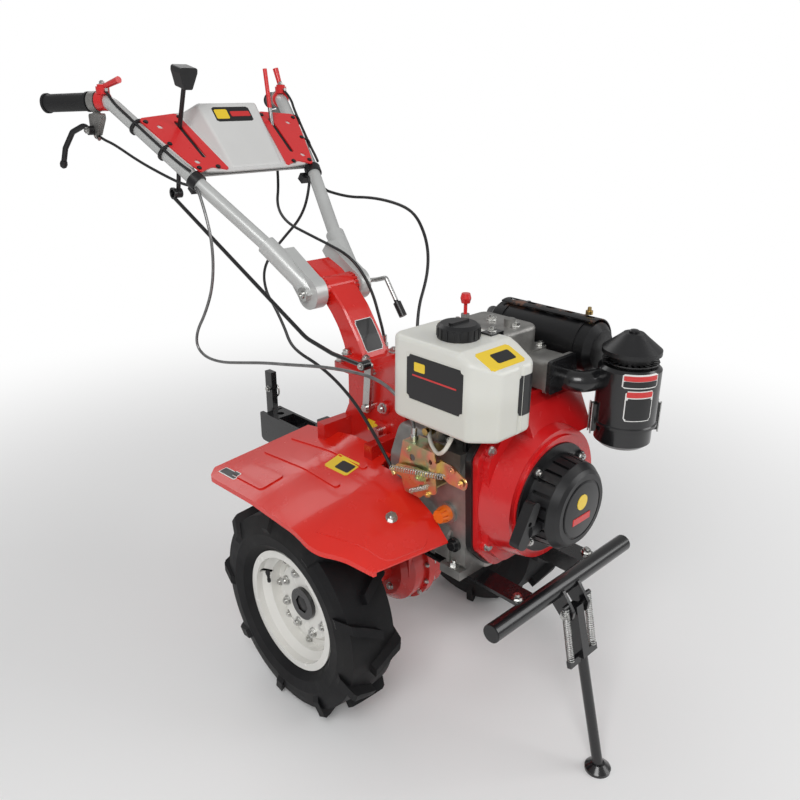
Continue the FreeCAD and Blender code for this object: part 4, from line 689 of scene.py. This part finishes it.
def tubeSpot(side, share, out, lift):
    # a place beside one tube: share runs from clip to bend, out to the outer side, lift off the panel
    outer = (Vector((1, 0, 0)) - tubeAlong * tubeAlong.x).normalized()
    spot = tubeLow + (tubeHigh - tubeLow) * share + outer * out + panelOut * lift
    return mm(side * spot.x, spot.y, spot.z)


def panelSpot(across, up, lift):
    # a place over the panel: across to the left, up its slope, lift off it
    return mm(*(Vector((across, tubeLow.y, tubeLow.z)) + panelUp * up + panelOut * lift))


# cables of the thumb levers, along the tubes, and of the clutch levers, under them
leverCables = {
    "radius": 0.0028,
    "thumbTop": ((215.9, 630, 1070), (214.9, 616, 1069)),
    "alongTube": ((0.90, 13, 17.1), (0.80, 11, 15.1), (0.62, 11, 14.2), (0.44, 11, 13.6), (0.26, 11, 13.6),
                  (0.12, 11, 15.6), (0.05, 9, 17.6)),
    "underTube": ((222, 668, 985), (219, 648, 976), (212, 615, 968), (194, 552, 938), (172, 490, 913)),
    "rightEnd": ((-152, 458, 898), (-142, 446, 896)),
    "leftEnd": ((154, 458, 898), (145, 440, 893), (146, 415, 882), (150, 385, 868)),
}
thumbRuns = []
clutchRuns = []
for side, end in ((-1, "rightEnd"), (1, "leftEnd")):
    top = [mm(*onSide(side, spot)) for spot in leverCables["thumbTop"]]
    thumbRuns.append(top + [tubeSpot(side, *step) for step in leverCables["alongTube"]])
    under = [onSide(side, spot) for spot in leverCables["underTube"]]
    clutchRuns.append([mm(*spot) for spot in under + list(leverCables[end])])
wires("thumb_lever_cables", "handlebar", "sheathBlack", thumbRuns, leverCables["radius"])
wires("clutch_lever_cables", "handlebar", "sheathBlack", clutchRuns, leverCables["radius"])

cableStarts = {
    "throttle_cable_start": ("sheathSilver", ((-140, 436, 893), (-146, 424, 897), (-152, 411, 898),
                                              (-152, 404, 888))),
    "stop_cable_start": ("sheathBlack", ((129, 436, 893), (125, 424, 896), (121, 413, 896),
                                         (120.7, 412, 884))),
}
for name, (look, places) in cableStarts.items():
    wires(name, "handlebar", look, [[mm(*spot) for spot in places]], cableLook["radius"])

cableTies = {"shares": (0.34, 0.66), "radius": 0.0177, "width": 0.0045, "out": 2.0, "lift": 2.45}
tieItems = []
for side in (-1, 1):
    along = (tubeSpot(side, 1, 0, 0) - tubeSpot(side, 0, 0, 0)).normalized()
    for share in cableTies["shares"]:
        middle = tubeSpot(side, share, cableTies["out"], cableTies["lift"])
        tieItems.append((middle - along * cableTies["width"] / 2, along,
                         stepped((cableTies["width"], cableTies["radius"]))))
lathe("cable_ties", "handlebar", "blackPlastic", tieItems)

# console: screws, the brushes that close the lever slots, and a blank plate with its fields
consoleTrim = {
    "screws": ((100, 164), (178, 152), (134, 14), (92, 14), (160, 86)),
    "screwLift": 19.6,
    "brush": (110.5, 97, 16.2),
    "brushSize": (0.013, 0.118, 0.0016),
    "plates": {"console_plate": ("labelBlack", 0, (0.088, 0.034), 0.0006),
               "console_plate_strip": ("labelYellow", -26, (0.030, 0.022), 0.0010),
               "console_plate_bar": ("labelRed", 18, (0.046, 0.012), 0.0010)},
    "plateUp": 132,
    "plateLift": 46,
}
consoleScrews = []
brushes = []
for side in (-1, 1):
    for across, up in consoleTrim["screws"]:
        consoleScrews.append((panelSpot(side * across, up, consoleTrim["screwLift"]), panelOut))
    brushes.append((panelSpot(*onSide(side, consoleTrim["brush"])), consoleTrim["brushSize"],
                    (math.degrees(panelTilt), 0, 0)))
scatter("console_screws", "handlebar", "blackPlastic", "screws",
        {"Head Sides": 16, "Head Radius": 0.0042, "Head Height": 0.0016, "Washer Radius": 0.0052,
         "Washer Height": 0.0006, "Stud Radius": 0.001, "Stud Height": 0.001}, consoleScrews)
blocks("slot_brushes", "handlebar", "gripRubber", brushes, 0)
for name, (look, across, size, lift) in consoleTrim["plates"].items():
    plate(name, "console", "handlebar", look,
          panelSpot(across, consoleTrim["plateUp"], consoleTrim["plateLift"]), (1, 0, 0), panelUp, size, lift)

# clutch levers: ball ends and cable adjusters
leverTrim = {
    "ball": (273.8, 723.4, 933),
    "ballProfile": [(-0.001, 0.003), (0.002, 0.0066), (0.008, 0.0078), (0.014, 0.0062), (0.017, 0.002)],
    "adjuster": (222, 672, 986),
    "adjusterProfile": stepped((0.006, 0.0048), (0.012, 0.0062), (0.024, 0.004, 0.0036), start=-0.006),
    "thumbAdjuster": (214.9, 630, 1070),
    "thumbProfile": stepped((0.010, 0.0050), (0.018, 0.0038, 0.0036)),
}
balls = []
adjusters = []
for side in (-1, 1):
    balls.append((mm(*onSide(side, leverTrim["ball"])), (side * 4, 6, -24), leverTrim["ballProfile"]))
    adjusters.append((mm(*onSide(side, leverTrim["adjuster"])), (side * 3, -20, -9),
                      leverTrim["adjusterProfile"]))
    adjusters.append((mm(*onSide(side, leverTrim["thumbAdjuster"])), (0, -1, 0), leverTrim["thumbProfile"]))

# ferrule and inner wire between the reverse cable's sheath and its lever
cableEnd = {"sheath": (121, 529.5, 924), "boss": (121, 522.7, 947.4),
            "profile": stepped((0.010, 0.0038), (0.0185, 0.0015))}
sheathEnd = mm(*cableEnd["sheath"])
lathe("reverse_cable_end", "handlebar", "brightSteel",
      [(sheathEnd, mm(*cableEnd["boss"]) - sheathEnd, cableEnd["profile"])])

# socket-headed bolts at the handlebar's pivot
pivotTrim = {"spot": (160, 186, 716), "profile": [(-0.001, 0.0135), (0.0025, 0.0135), (0.003, 0.0123),
                                                  (0.003, 0.0078), (0.0060, 0.0078), (0.0066, 0.0072),
                                                  (0.0066, 0.0042), (0.0035, 0.0042)]}
pivotItems = []
for side in (-1, 1):
    face = onto("handle_clamp", mm(*onSide(side, pivotTrim["spot"])), (-side, 0, 0))[0]
    pivotItems.append((face, (side, 0, 0), pivotTrim["profile"]))
lathe("pivot_bolts", "handlebar", "brightSteel", pivotItems)
lathe("clutch_lever_balls", "handlebar", "blackPlastic", balls)
lathe("lever_adjusters", "handlebar", "brightSteel", adjusters)

screwSizes = {"Head Sides": 6, "Head Radius": 0.0075, "Head Height": 0.0055, "Washer Radius": 0.0092,
              "Washer Height": 0.0012, "Stud Radius": 0.0042, "Stud Height": 0.0092}
handleBolts = {"leverPivot": (240.8, 663.4, 993), "leverPivotBack": (217.8, 660, 1003),
               "clip": (143, 418, 889), "thumbLever": (214.9, 629.6, 1080.4)}
handleMarks = []
for side in (-1, 1):
    handleMarks += bolts((side, 0, 0), 0.8, [onSide(side, handleBolts["leverPivot"])])
    handleMarks += bolts((-side, 0, 0), 0.8, [onSide(side, handleBolts["leverPivotBack"])])
    handleMarks += bolts((0, 0, -1), 0.8, [onSide(side, handleBolts["clip"])])
    handleMarks += bolts((0, 0, 1), 0.75, [onSide(side, handleBolts["thumbLever"])])
scatter("handlebar_bolts", "handlebar", "brightSteel", "screws", screwSizes, handleMarks)
print("handlebar trim done")


# wheels

# bolt rings in mm and degrees: face, radius, count, first angle and size
wheelTrim = {
    "hubBolts": (241.2, 58, 8, 22.5, 1.05),
    "hubNuts": (229.0, 58, 8, 22.5, 1.0),
    "rimBolts": (233.2, 84.5, 8, 45, 0.85),
    "valveFace": 0.2615,
    "valveRing": 0.0905,
    "valveTurn": math.radians(70),
    "valveProfile": [(-0.003, 0.0045), (0.003, 0.0040), (0.005, 0.0028), (0.013, 0.0026), (0.0132, 0.0034),
                     (0.0195, 0.0034), (0.0205, 0.0025)],
    "plugFace": 0.2370,
    "plugProfile": [(0, 0.0168), (0.008, 0.0168), (0.0105, 0.0120)],
}
for side, sideName in ((1, "left"), (-1, "right")):
    wheel = "wheel_" + sideName
    wheelMarks = []
    for key, way in (("hubBolts", side), ("rimBolts", side), ("hubNuts", -side)):
        face, *ring = wheelTrim[key]
        wheelMarks += boltRing((way, 0, 0), (side * face, 0, axleZ * 1000), *ring)
    scatter("wheel_bolts_" + sideName, wheel, "brightSteel", "screws", screwSizes, wheelMarks)
    out = Vector((0, math.sin(wheelTrim["valveTurn"]), math.cos(wheelTrim["valveTurn"])))
    valve = at(side * wheelTrim["valveFace"], 0, axleZ) + out * wheelTrim["valveRing"]
    lathe("valve_stem_" + sideName, wheel, "gripRubber",
          [(valve, Vector((side * 0.5, 0, 0)) - out, wheelTrim["valveProfile"])], 16)
    lathe("hub_plug_" + sideName, wheel, "blackPlastic",
          [(at(side * wheelTrim["plugFace"], 0, axleZ), (side, 0, 0), wheelTrim["plugProfile"])])
print("wheels trimmed")


# gear cases, column and hitch

# places in mm; a ring has its centre, radius, count, first angle, size and, if it isn't full, its step
caseTrim = {
    "lid": ((-52, -62, 596), (52, -62, 596), (-54, 22, 596), (54, 22, 596), (-50, 114, 596), (20, 116, 596)),
    "columnFoot": ((-36, 57, 608), (-36, 111, 608), (36, 57, 608), (36, 111, 608)),
    "cheek": (71, -28, 548),
    "cover": ((71, 7, 418), 33, 6, 30, 0.8),
    "axleFlange": ((58, 0, 202), 49, 4, 45, 0.85),
    "seam": ((8, 0, 202), 87.5, 9, -190, 0.6, 25),
    "bell": ((0, -88, 472), 89, 10, 18, 0.62),
}
caseMarks = bolts((0, 0, 1), 1.0, caseTrim["lid"]) + bolts((0, 0, 1), 1.1, caseTrim["columnFoot"])
caseMarks += boltRing((0, 1, 0), *caseTrim["bell"])
for side in (-1, 1):
    caseMarks += bolts((side, 0, 0), 1.1, [onSide(side, caseTrim["cheek"])])
    for key in ("cover", "axleFlange", "seam"):
        centre, *ring = caseTrim[key]
        caseMarks += boltRing((side, 0, 0), onSide(side, centre), *ring)
scatter("gear_case_bolts", "chassis", "brightSteel", "screws", screwSizes, caseMarks)

hitchTrim = {"seat": ((-20, 104, 350), (-20, 104, 400), (20, 104, 350), (20, 104, 400)),
             "bar": (18, 220, 404), "post": (7, 424, 440), "ring": (10.5, 424, 440), "ringRadius": 0.015,
             "ringWire": 0.0022, "boltHead": 0.006, "ringSteps": 18}
hitchMarks = bolts((0, 1, 0), 0.95, hitchTrim["seat"])
for side in (-1, 1):
    hitchMarks += bolts((side, 0, 0), 1.2, [onSide(side, hitchTrim["bar"])])
    hitchMarks += bolts((side, 0, 0), 0.8, [onSide(side, hitchTrim["post"])])
scatter("hitch_bolts", "chassis", "brightSteel", "screws", screwSizes, hitchMarks)

# a ring that hangs on the post's bolt
ringCentre = mm(*hitchTrim["ring"])
ringCentre.z += hitchTrim["boltHead"] + hitchTrim["ringWire"] - hitchTrim["ringRadius"]
ringLine = []
for index in range(hitchTrim["ringSteps"] + 1):
    angle = 2 * math.pi * index / hitchTrim["ringSteps"]
    ringLine.append(ringCentre + Vector((0, math.sin(angle), math.cos(angle))) * hitchTrim["ringRadius"])
wires("post_ring", "chassis", "brightSteel", [ringLine], hitchTrim["ringWire"])

# blank plates on the bell housing and the column
plates("gearbox", (0, -1, 0), (0, 0, 1),
       {"bell_plate": ("labelYellow", (-70, 4, 500), (0.034, 0.022), 0.0006)})
plates("handle_column", (1, 0, 0), (0, 0.55, 0.83),
       {"column_plate_edge": ("labelWhite", (0, 87, 644), (0.044, 0.066), 0.0006),
        "column_plate_film": ("labelBlack", (0, 87, 644), (0.041, 0.063), 0.0010)})
print("gear case trimmed")


# engine

# each group of bolts: facing, size and places in mm
engineBolts = {
    "feet": ((0, 0, 1), 1.15, ((-118, -120, 348), (118, -120, 348), (-118, -250, 348), (118, -250, 348))),
    "rails": ((0, 0, -1), 1.0, ((-90, -120, 326), (90, -120, 326), (-90, -250, 326), (90, -250, 326))),
    "shroud": ((0, -1, 0), 0.85, ((-98, -300, 568), (-96, -300, 398), (112, -300, 408), (118, -300, 600))),
    "head": ((0, 0, 1), 0.85, ((66, -142, 690), (66, -258, 690), (66, -200, 690), (-36, -138, 690))),
    "rocker": ((0, 0, 1), 1.0, ((14, -196, 730), (14, -244, 730))),
    "pump": ((0, 0, 1), 0.75, ((-96, -210, 555), (-96, -166, 555))),
    "tankBracket": ((0, 0, 1), 0.8, ((-62, -190, 741.3), (-62, -260, 741.3))),
    "exhaust": ((1, 0, 0), 0.6, ((80, -152, 666), (80, -190, 666))),
}
engineRings = {"sideCover": ((1, 0, 0), (125, -184, 462), 54, 6, 0, 0.7),
               "starter": ((0, -1, 0), (0, -357, 472), 83, 4, 40, 0.75)}
engineMarks = []
for group in engineBolts.values():
    engineMarks += bolts(*group)
for ring in engineRings.values():
    engineMarks += boltRing(*ring)
scatter("engine_bolts", "chassis", "brightSteel", "screws", screwSizes, engineMarks)

# turned fittings: place in mm, direction and profile
cableSocket = stepped((0.006, 0.0068), (0.022, 0.0046, 0.0044))
engineFittings = {
    "brass": ("brass", [
        ((-96, -188, 586), (0, 0, 1), stepped((0.006, 0.011), (0.013, 0.0075, 0.0070))),  # pump outlet
        ((-113, -188, 572), (-1, 0, 0), stepped((0.008, 0.0085), (0.016, 0.006))),  # pump inlet
        ((-2, -132, 662), (0, 1, 0), stepped((0.009, 0.0090), (0.016, 0.006, 0.0055))),  # injector
        ((136, -300, 738), (0, 0, 1), stepped((0.006, 0.006), (0.012, 0.0035, 0.003)))]),  # heat shield
    "steel": ("brightSteel", [
        ((34, -14, 605), (0, 0, 1), cableSocket),
        ((56, 104, 605), (0, 0, 1), cableSocket),
        ((-134, -170, 556), (0, 0, 1), stepped((0.007, 0.0068), (0.020, 0.0046, 0.0044))),  # throttle cable
        ((-116, -156, 470), (-1, 0, 0), stepped((0.004, 0.013), (0.014, 0.009)) + [(0.016, 0.006)])]),
    "dark": ("bumperBlack", [((-116, -250, 388), (-1, 0, 0), stepped((0.006, 0.012), (0.012, 0.008)))]),
}
for name, (look, parts) in engineFittings.items():
    lathe("engine_fittings_" + name, "chassis", look, [(mm(*spot), *rest) for spot, *rest in parts])

# fuel: tap under the tank, feed hose to the pump and return hose from the injector
fuelLine = {
    "radius": 0.0034,
    "feed": ((-140, -262, 604), (-150, -264, 592), (-158, -258, 572), (-150, -236, 556), (-134, -206, 560),
             (-124, -192, 572), (-113, -188, 572)),
    "return": ((-2, -118, 664), (-2, -108, 676), (-20, -112, 704), (-48, -128, 716), (-70, -142, 700),
               (-84, -149, 690)),
    "tap": (-132, -262, 606),
    "tapOutlet": (-140, -262, 597),
    "handle": (-132, -274, 597),
    "handleSize": (0.006, 0.018, 0.010),
}
wires("fuel_hoses", "chassis", "hoseClear",
      [[mm(*spot) for spot in fuelLine[key]] for key in ("feed", "return")], fuelLine["radius"])
lathe("fuel_tap", "chassis", "brass",
      [(mm(*fuelLine["tap"]), (0, 0, -1), stepped((0.006, 0.0085), (0.014, 0.006))),
       (mm(*fuelLine["tapOutlet"]), (1, 0, 0), stepped((0.016, 0.0042)))])
blocks("fuel_tap_handle", "chassis", "redPlastic", [(mm(*fuelLine["handle"]), fuelLine["handleSize"])])

# speed bracket: each spring's ends, turns and radius, and the bolts with their sizes
speedTrim = {
    "springs": {"governor_spring": ((-164, -146, 506), (-164, -262, 532), 22.0, 0.0042),
                "stop_spring": ((-159.5, -188, 478), (-159.5, -226, 500), 11.0, 0.0036)},
    "wire": 0.0007,
    "bolts": {(-150, -172, 544): 0.6, (-150, -218, 480): 0.6, (-162, -208, 510): 0.8,
              (-144.5, -262, 536): 0.6, (-144.5, -280, 520): 0.7},
}
for name, (first, last, turns, radius) in speedTrim["springs"].items():
    line = mm(*last) - mm(*first)
    scatter(name, "chassis", "brightSteel", "coils",
            {"Turns": turns, "Coil Radius": radius, "Length": line.length, "Wire Radius": speedTrim["wire"]},
            [(mm(*first), line)])
scatter("bracket_bolts", "chassis", "passivatedZinc", "screws", screwSizes,
        [(mm(*spot), (-1, 0, 0), size) for spot, size in speedTrim["bolts"].items()])

# recoil starter: a blank badge with a disc and a bar, and the rope
recoilTrim = {
    "badge": (0, -405, 472),
    "badgeProfile": [(0, 0.0455), (0.0016, 0.0455), (0.0020, 0.0440)],
    "disc": (-2, -407, 486),
    "discProfile": [(0, 0.013), (0.0008, 0.013)],
    "bar": (0, -407.2, 456),
    "barSize": (0.046, 0.0016, 0.012),
    "rope": ((-97, -373.8, 461.6), (-100, -374, 462), (-104, -374, 464)),
    "ropeRadius": 0.0026,
}
lathe("recoil_badge", "chassis", "labelBlack",
      [(mm(*recoilTrim["badge"]), (0, -1, 0), recoilTrim["badgeProfile"])], 48)
lathe("recoil_badge_disc", "chassis", "labelYellow",
      [(mm(*recoilTrim["disc"]), (0, -1, 0), recoilTrim["discProfile"])], 32)
blocks("recoil_badge_bar", "chassis", "labelRed", [(mm(*recoilTrim["bar"]), recoilTrim["barSize"])])
wires("recoil_rope", "chassis", "labelWhite", [[mm(*spot) for spot in recoilTrim["rope"]]],
      recoilTrim["ropeRadius"])

# air cleaner: cap nut, clips, neck louvres and two blank plates
cleanerTrim = {
    "x": 118,
    "y": -394,
    "nutZ": 732,
    "nutProfile": [(0, 0.008), (0.003, 0.008), (0.0045, 0.0060), (0.0052, 0.003)],
    "louvreZ": 688,
    "louvres": {"Count": 26, "Ring Radius": 0.0385, "Rib Size": (0.010, 0.0016, 0.013)},
    "clipTurn": 50,
    "clipReach": 0.0555,
    "clipHalfWidth": 0.006,
    "clipHeights": (0.566, 0.580, 0.600, 0.618),
    "clipWire": 0.0013,
    "plateAcross": (0.80, -0.60, 0),
}


def cleanerSpot(z):
    return mm(cleanerTrim["x"], cleanerTrim["y"], z)


lathe("air_cleaner_nut", "chassis", "bumperBlack",
      [(cleanerSpot(cleanerTrim["nutZ"]), (0, 0, 1), cleanerTrim["nutProfile"])])
clipWires = []
for half in (180, 0):
    turn = math.radians(cleanerTrim["clipTurn"] + half)
    base = cleanerSpot(0) + Vector((-math.sin(turn), math.cos(turn), 0)) * cleanerTrim["clipReach"]
    across = Vector((math.cos(turn), math.sin(turn), 0)) * cleanerTrim["clipHalfWidth"]
    for lean in (-1, 1):
        clipWires.append([base + across * lean + Vector((0, 0, z)) for z in cleanerTrim["clipHeights"]])
wires("air_cleaner_clips", "chassis", "brightSteel", clipWires, cleanerTrim["clipWire"])
for name, look, z, size, lift in (("upper", "labelWhite", 668, (0.056, 0.022), 0.0006),
                                  ("upper_head", "labelRed", 673, (0.053, 0.008), 0.0010),
                                  ("upper_body", "labelBlack", 663.5, (0.053, 0.0095), 0.0010),
                                  ("lower", "labelWhite", 628, (0.044, 0.050), 0.0006),
                                  ("lower_head", "labelRed", 647, (0.041, 0.009), 0.0010),
                                  ("lower_body", "labelBlack", 622.5, (0.041, 0.036), 0.0010)):
    plate("air_cleaner_plate_" + name, "air_cleaner", "chassis", look, cleanerSpot(z),
          cleanerTrim["plateAcross"], (0, 0, 1), size, lift)
scatter("neck_louvres", "chassis", "bumperBlack", "rings", cleanerTrim["louvres"],
        [(cleanerSpot(cleanerTrim["louvreZ"]), (0, 0, 1))])

# blank plates on the tank's side, slope and front
plates("fuel_tank", (0, -1, 0), (0, 0, 1),
       {"tank_plate": ("labelBlack", (-172, -245.5, 680), (0.112, 0.070), 0.0006),
        "tank_plate_line": ("labelRed", (-172, -245.5, 684), (0.088, 0.0026), 0.0010),
        "tank_plate_disc": ("labelYellow", (-172, -216, 698), (0.022, 0.014), 0.0010)})
plates("fuel_tank", (1, 0, 0), (0, 58, 23),
       {"tank_notice": ("labelYellow", (-112, -318, 727), (0.074, 0.040), 0.0006),
        "tank_notice_bar": ("labelBlack", (-106, -318, 727), (0.040, 0.020), 0.0010)})
plates("fuel_tank", (1, 0, 0), (0, 0, 1),
       {"tank_end_plate": ("labelBlack", (-76, -344, 668), (0.034, 0.062), 0.0006)})
print("engine trimmed")


# fenders, bumper and stand

fenderTrim = {"screws": ((112, -52), (112, 78), (190, -176)), "above": 700, "screwSize": 1.1}
fenderMarks = []
for side, node in ((-1, "fender_right"), (1, "fender_left")):
    for x, y in fenderTrim["screws"]:
        place, normal = onto(node, mm(side * x, y, fenderTrim["above"]), (0, 0, -1))
        fenderMarks.append((place, normal, fenderTrim["screwSize"]))
scatter("fender_bolts", "chassis", "brightSteel", "screws", screwSizes, fenderMarks)
plates("fender_right", (0.06, -1, 0), (1, 0.06, 0),
       {"fender_notice": ("labelYellow", (-170, -30, 480), (0.056, 0.036), 0.0007),
        "fender_notice_bar": ("labelBlack", (-170, -38, 480), (0.032, 0.022), 0.0011)})
plates("fender_right", (0, -1, 0), (1, 0, 0),
       {"fender_strip_edge": ("labelWhite", (-299, 127, 470), (0.050, 0.018), 0.0007),
        "fender_strip_film": ("labelBlack", (-299, 127, 470), (0.046, 0.014), 0.0011)}, (30, 8))

standPivot = {"y": -414.0, "height": 290.0, "lean": 15.0}


def standSpot(x, ahead, along):
    # a place on the leg: ahead of its middle line, and along it from the pivot down
    lean = math.radians(standPivot["lean"])
    return mm(x, standPivot["y"] - along * math.sin(lean) - ahead * math.cos(lean),
              standPivot["height"] - along * math.cos(lean) + ahead * math.sin(lean))


standTrim = {"springX": 31, "springTop": 306, "springReach": 80, "turns": 24.0, "coil": 0.0056,
             "wire": 0.0010, "pin": (28, -414, 290), "plug": (179, -386, 323),
             "plugProfile": [(0, 0.0118), (0.003, 0.0118), (0.0035, 0.0150), (0.005, 0.0145)],
             "railBolts": ((-96, -366, 332), (96, -366, 332))}
springMarks = []
pinMarks = []
plugs = []
for side in (-1, 1):
    top = mm(side * standTrim["springX"], standPivot["y"], standTrim["springTop"])
    springMarks.append((top, standSpot(side * standTrim["springX"], 0, standTrim["springReach"]) - top))
    pinMarks += bolts((side, 0, 0), 0.95, [onSide(side, standTrim["pin"])])
    plugs.append((mm(*onSide(side, standTrim["plug"])), (side, 0, 0), standTrim["plugProfile"]))
springs = scatter("spring_coils", None, "brightSteel", "coils",
                  {"Turns": standTrim["turns"], "Coil Radius": standTrim["coil"],
                   "Length": springMarks[0][1].length, "Wire Radius": standTrim["wire"]}, springMarks)
mm(0, -414, 303)
standSpot(0, 0, 6)
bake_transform(springs)
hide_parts("stand_springs")
scatter("stand_pin_nuts", "stand", "brightSteel", "screws", screwSizes, pinMarks)
lathe("bumper_plugs", "chassis", "blackPlastic", plugs)
scatter("bumper_bolts", "chassis", "brightSteel", "screws", screwSizes,
        bolts((0, 0, 1), 1.0, standTrim["railBolts"]))
scatter("shift_rod_nuts", "shift_link", "brightSteel", "screws", screwSizes,
        bolts((-1, 0, 0), 0.7, [(-97.3, 0, 626)]))
print("fenders, bumper and stand trimmed")


# studio

studio = {
    "cameraSpot": (-0.9467, -0.9754, 1.0868),
    "yaw": 44.085,
    "pitch": 22.069,
    "roll": 0.365,
    "lens": 35.26,
    "sensor": 36.0,
    "nearest": 0.05,
    "floorRadius": 12.0,
    "floorGrey": 0.92,
    "fadeMiddle": 1.5,
    "fadeHalf": 0.8,
    "worldLight": 0.38,
}
# each lamp: place, target, size and power
lamps = {
    "key_lamp": ((-2.2, -1.6, 2.8), (0, 0, 0.5), 1.6, 60.0),
    "fill_lamp": ((1.9, -2.4, 2.0), (0, -0.1, 0.5), 1.8, 28.0),
    "back_lamp": ((0.6, 2.4, 2.6), (0, 0, 0.6), 1.6, 11.0),
}


def aim(yaw, pitch, roll):
    level = Vector((math.cos(yaw), -math.sin(yaw), 0))
    ahead = Vector((math.sin(yaw) * math.cos(pitch), math.cos(yaw) * math.cos(pitch), -math.sin(pitch)))
    up = level.cross(ahead)
    right = level * math.cos(roll) + up * math.sin(roll)
    above = right.cross(ahead)
    return Matrix((right, above, -ahead)).transposed().to_4x4()


def camera():
    eye = bpy.data.cameras.new("studio_camera")
    eye.lens = studio["lens"]
    eye.sensor_width = studio["sensor"]
    eye.clip_start = studio["nearest"]
    holder = newPiece("studio_camera", eye)
    turn = aim(*(math.radians(studio[key]) for key in ("yaw", "pitch", "roll")))
    holder.matrix_world = Matrix.Translation(at(*studio["cameraSpot"])) @ turn
    bpy.context.scene.camera = holder


def seenDirectly(sheet):
    # rays straight from the camera, which should meet the white background
    return sheet.node("ShaderNodeLightPath")[0]


def floor():
    # pale near the machine, fading to plain white further out
    mesh = bpy.data.meshes.new("studio_floor")
    build = bmesh.new()
    bmesh.ops.create_circle(build, cap_ends=True, radius=studio["floorRadius"], segments=64)
    build.to_mesh(mesh)
    build.free()
    piece = newPiece("studio_floor", mesh)
    sheet, material = openSheet("studioFloor")
    away = sheet.node("ShaderNodeVectorMath", {"operation": "LENGTH"}, {0: sheet.place()})[1]
    far = away.above(studio["fadeMiddle"], studio["fadeHalf"])
    near = sheet.node("ShaderNodeBsdfDiffuse", {}, {"Color": (*[studio["floorGrey"]] * 3, 1)})[0]
    white = sheet.node("ShaderNodeEmission", {}, {"Color": (1, 1, 1, 1), "Strength": 1.0})[0]
    surface = sheet.node("ShaderNodeMixShader", {}, {0: far * seenDirectly(sheet), 1: near, 2: white})[0]
    sheet.node("ShaderNodeOutputMaterial", {}, {"Surface": surface})
    mesh.materials.append(material)


def world():
    sky = bpy.data.worlds.new("studio_world")
    bpy.context.scene.world = sky
    sky.use_nodes = True
    sheet = Sheet(sky.node_tree)
    strength = seenDirectly(sheet) * (1.0 - studio["worldLight"]) + studio["worldLight"]
    light = sheet.node("ShaderNodeBackground", {}, {"Color": (1, 1, 1, 1), "Strength": strength})[0]
    sheet.node("ShaderNodeOutputWorld", {}, {"Surface": light})


def lamp(name, spot, target, size, power):
    light = bpy.data.lights.new(name, "AREA")
    light.size = size
    light.energy = power
    look = (at(*target) - at(*spot)).to_track_quat("-Z", "Y").to_matrix().to_4x4()
    newPiece(name, light).matrix_world = Matrix.Translation(at(*spot)) @ look


bpy.context.scene.view_settings.view_transform = "Standard"
camera()
floor()
world()
for name, values in lamps.items():
    lamp(name, *values)
print("studio ready")
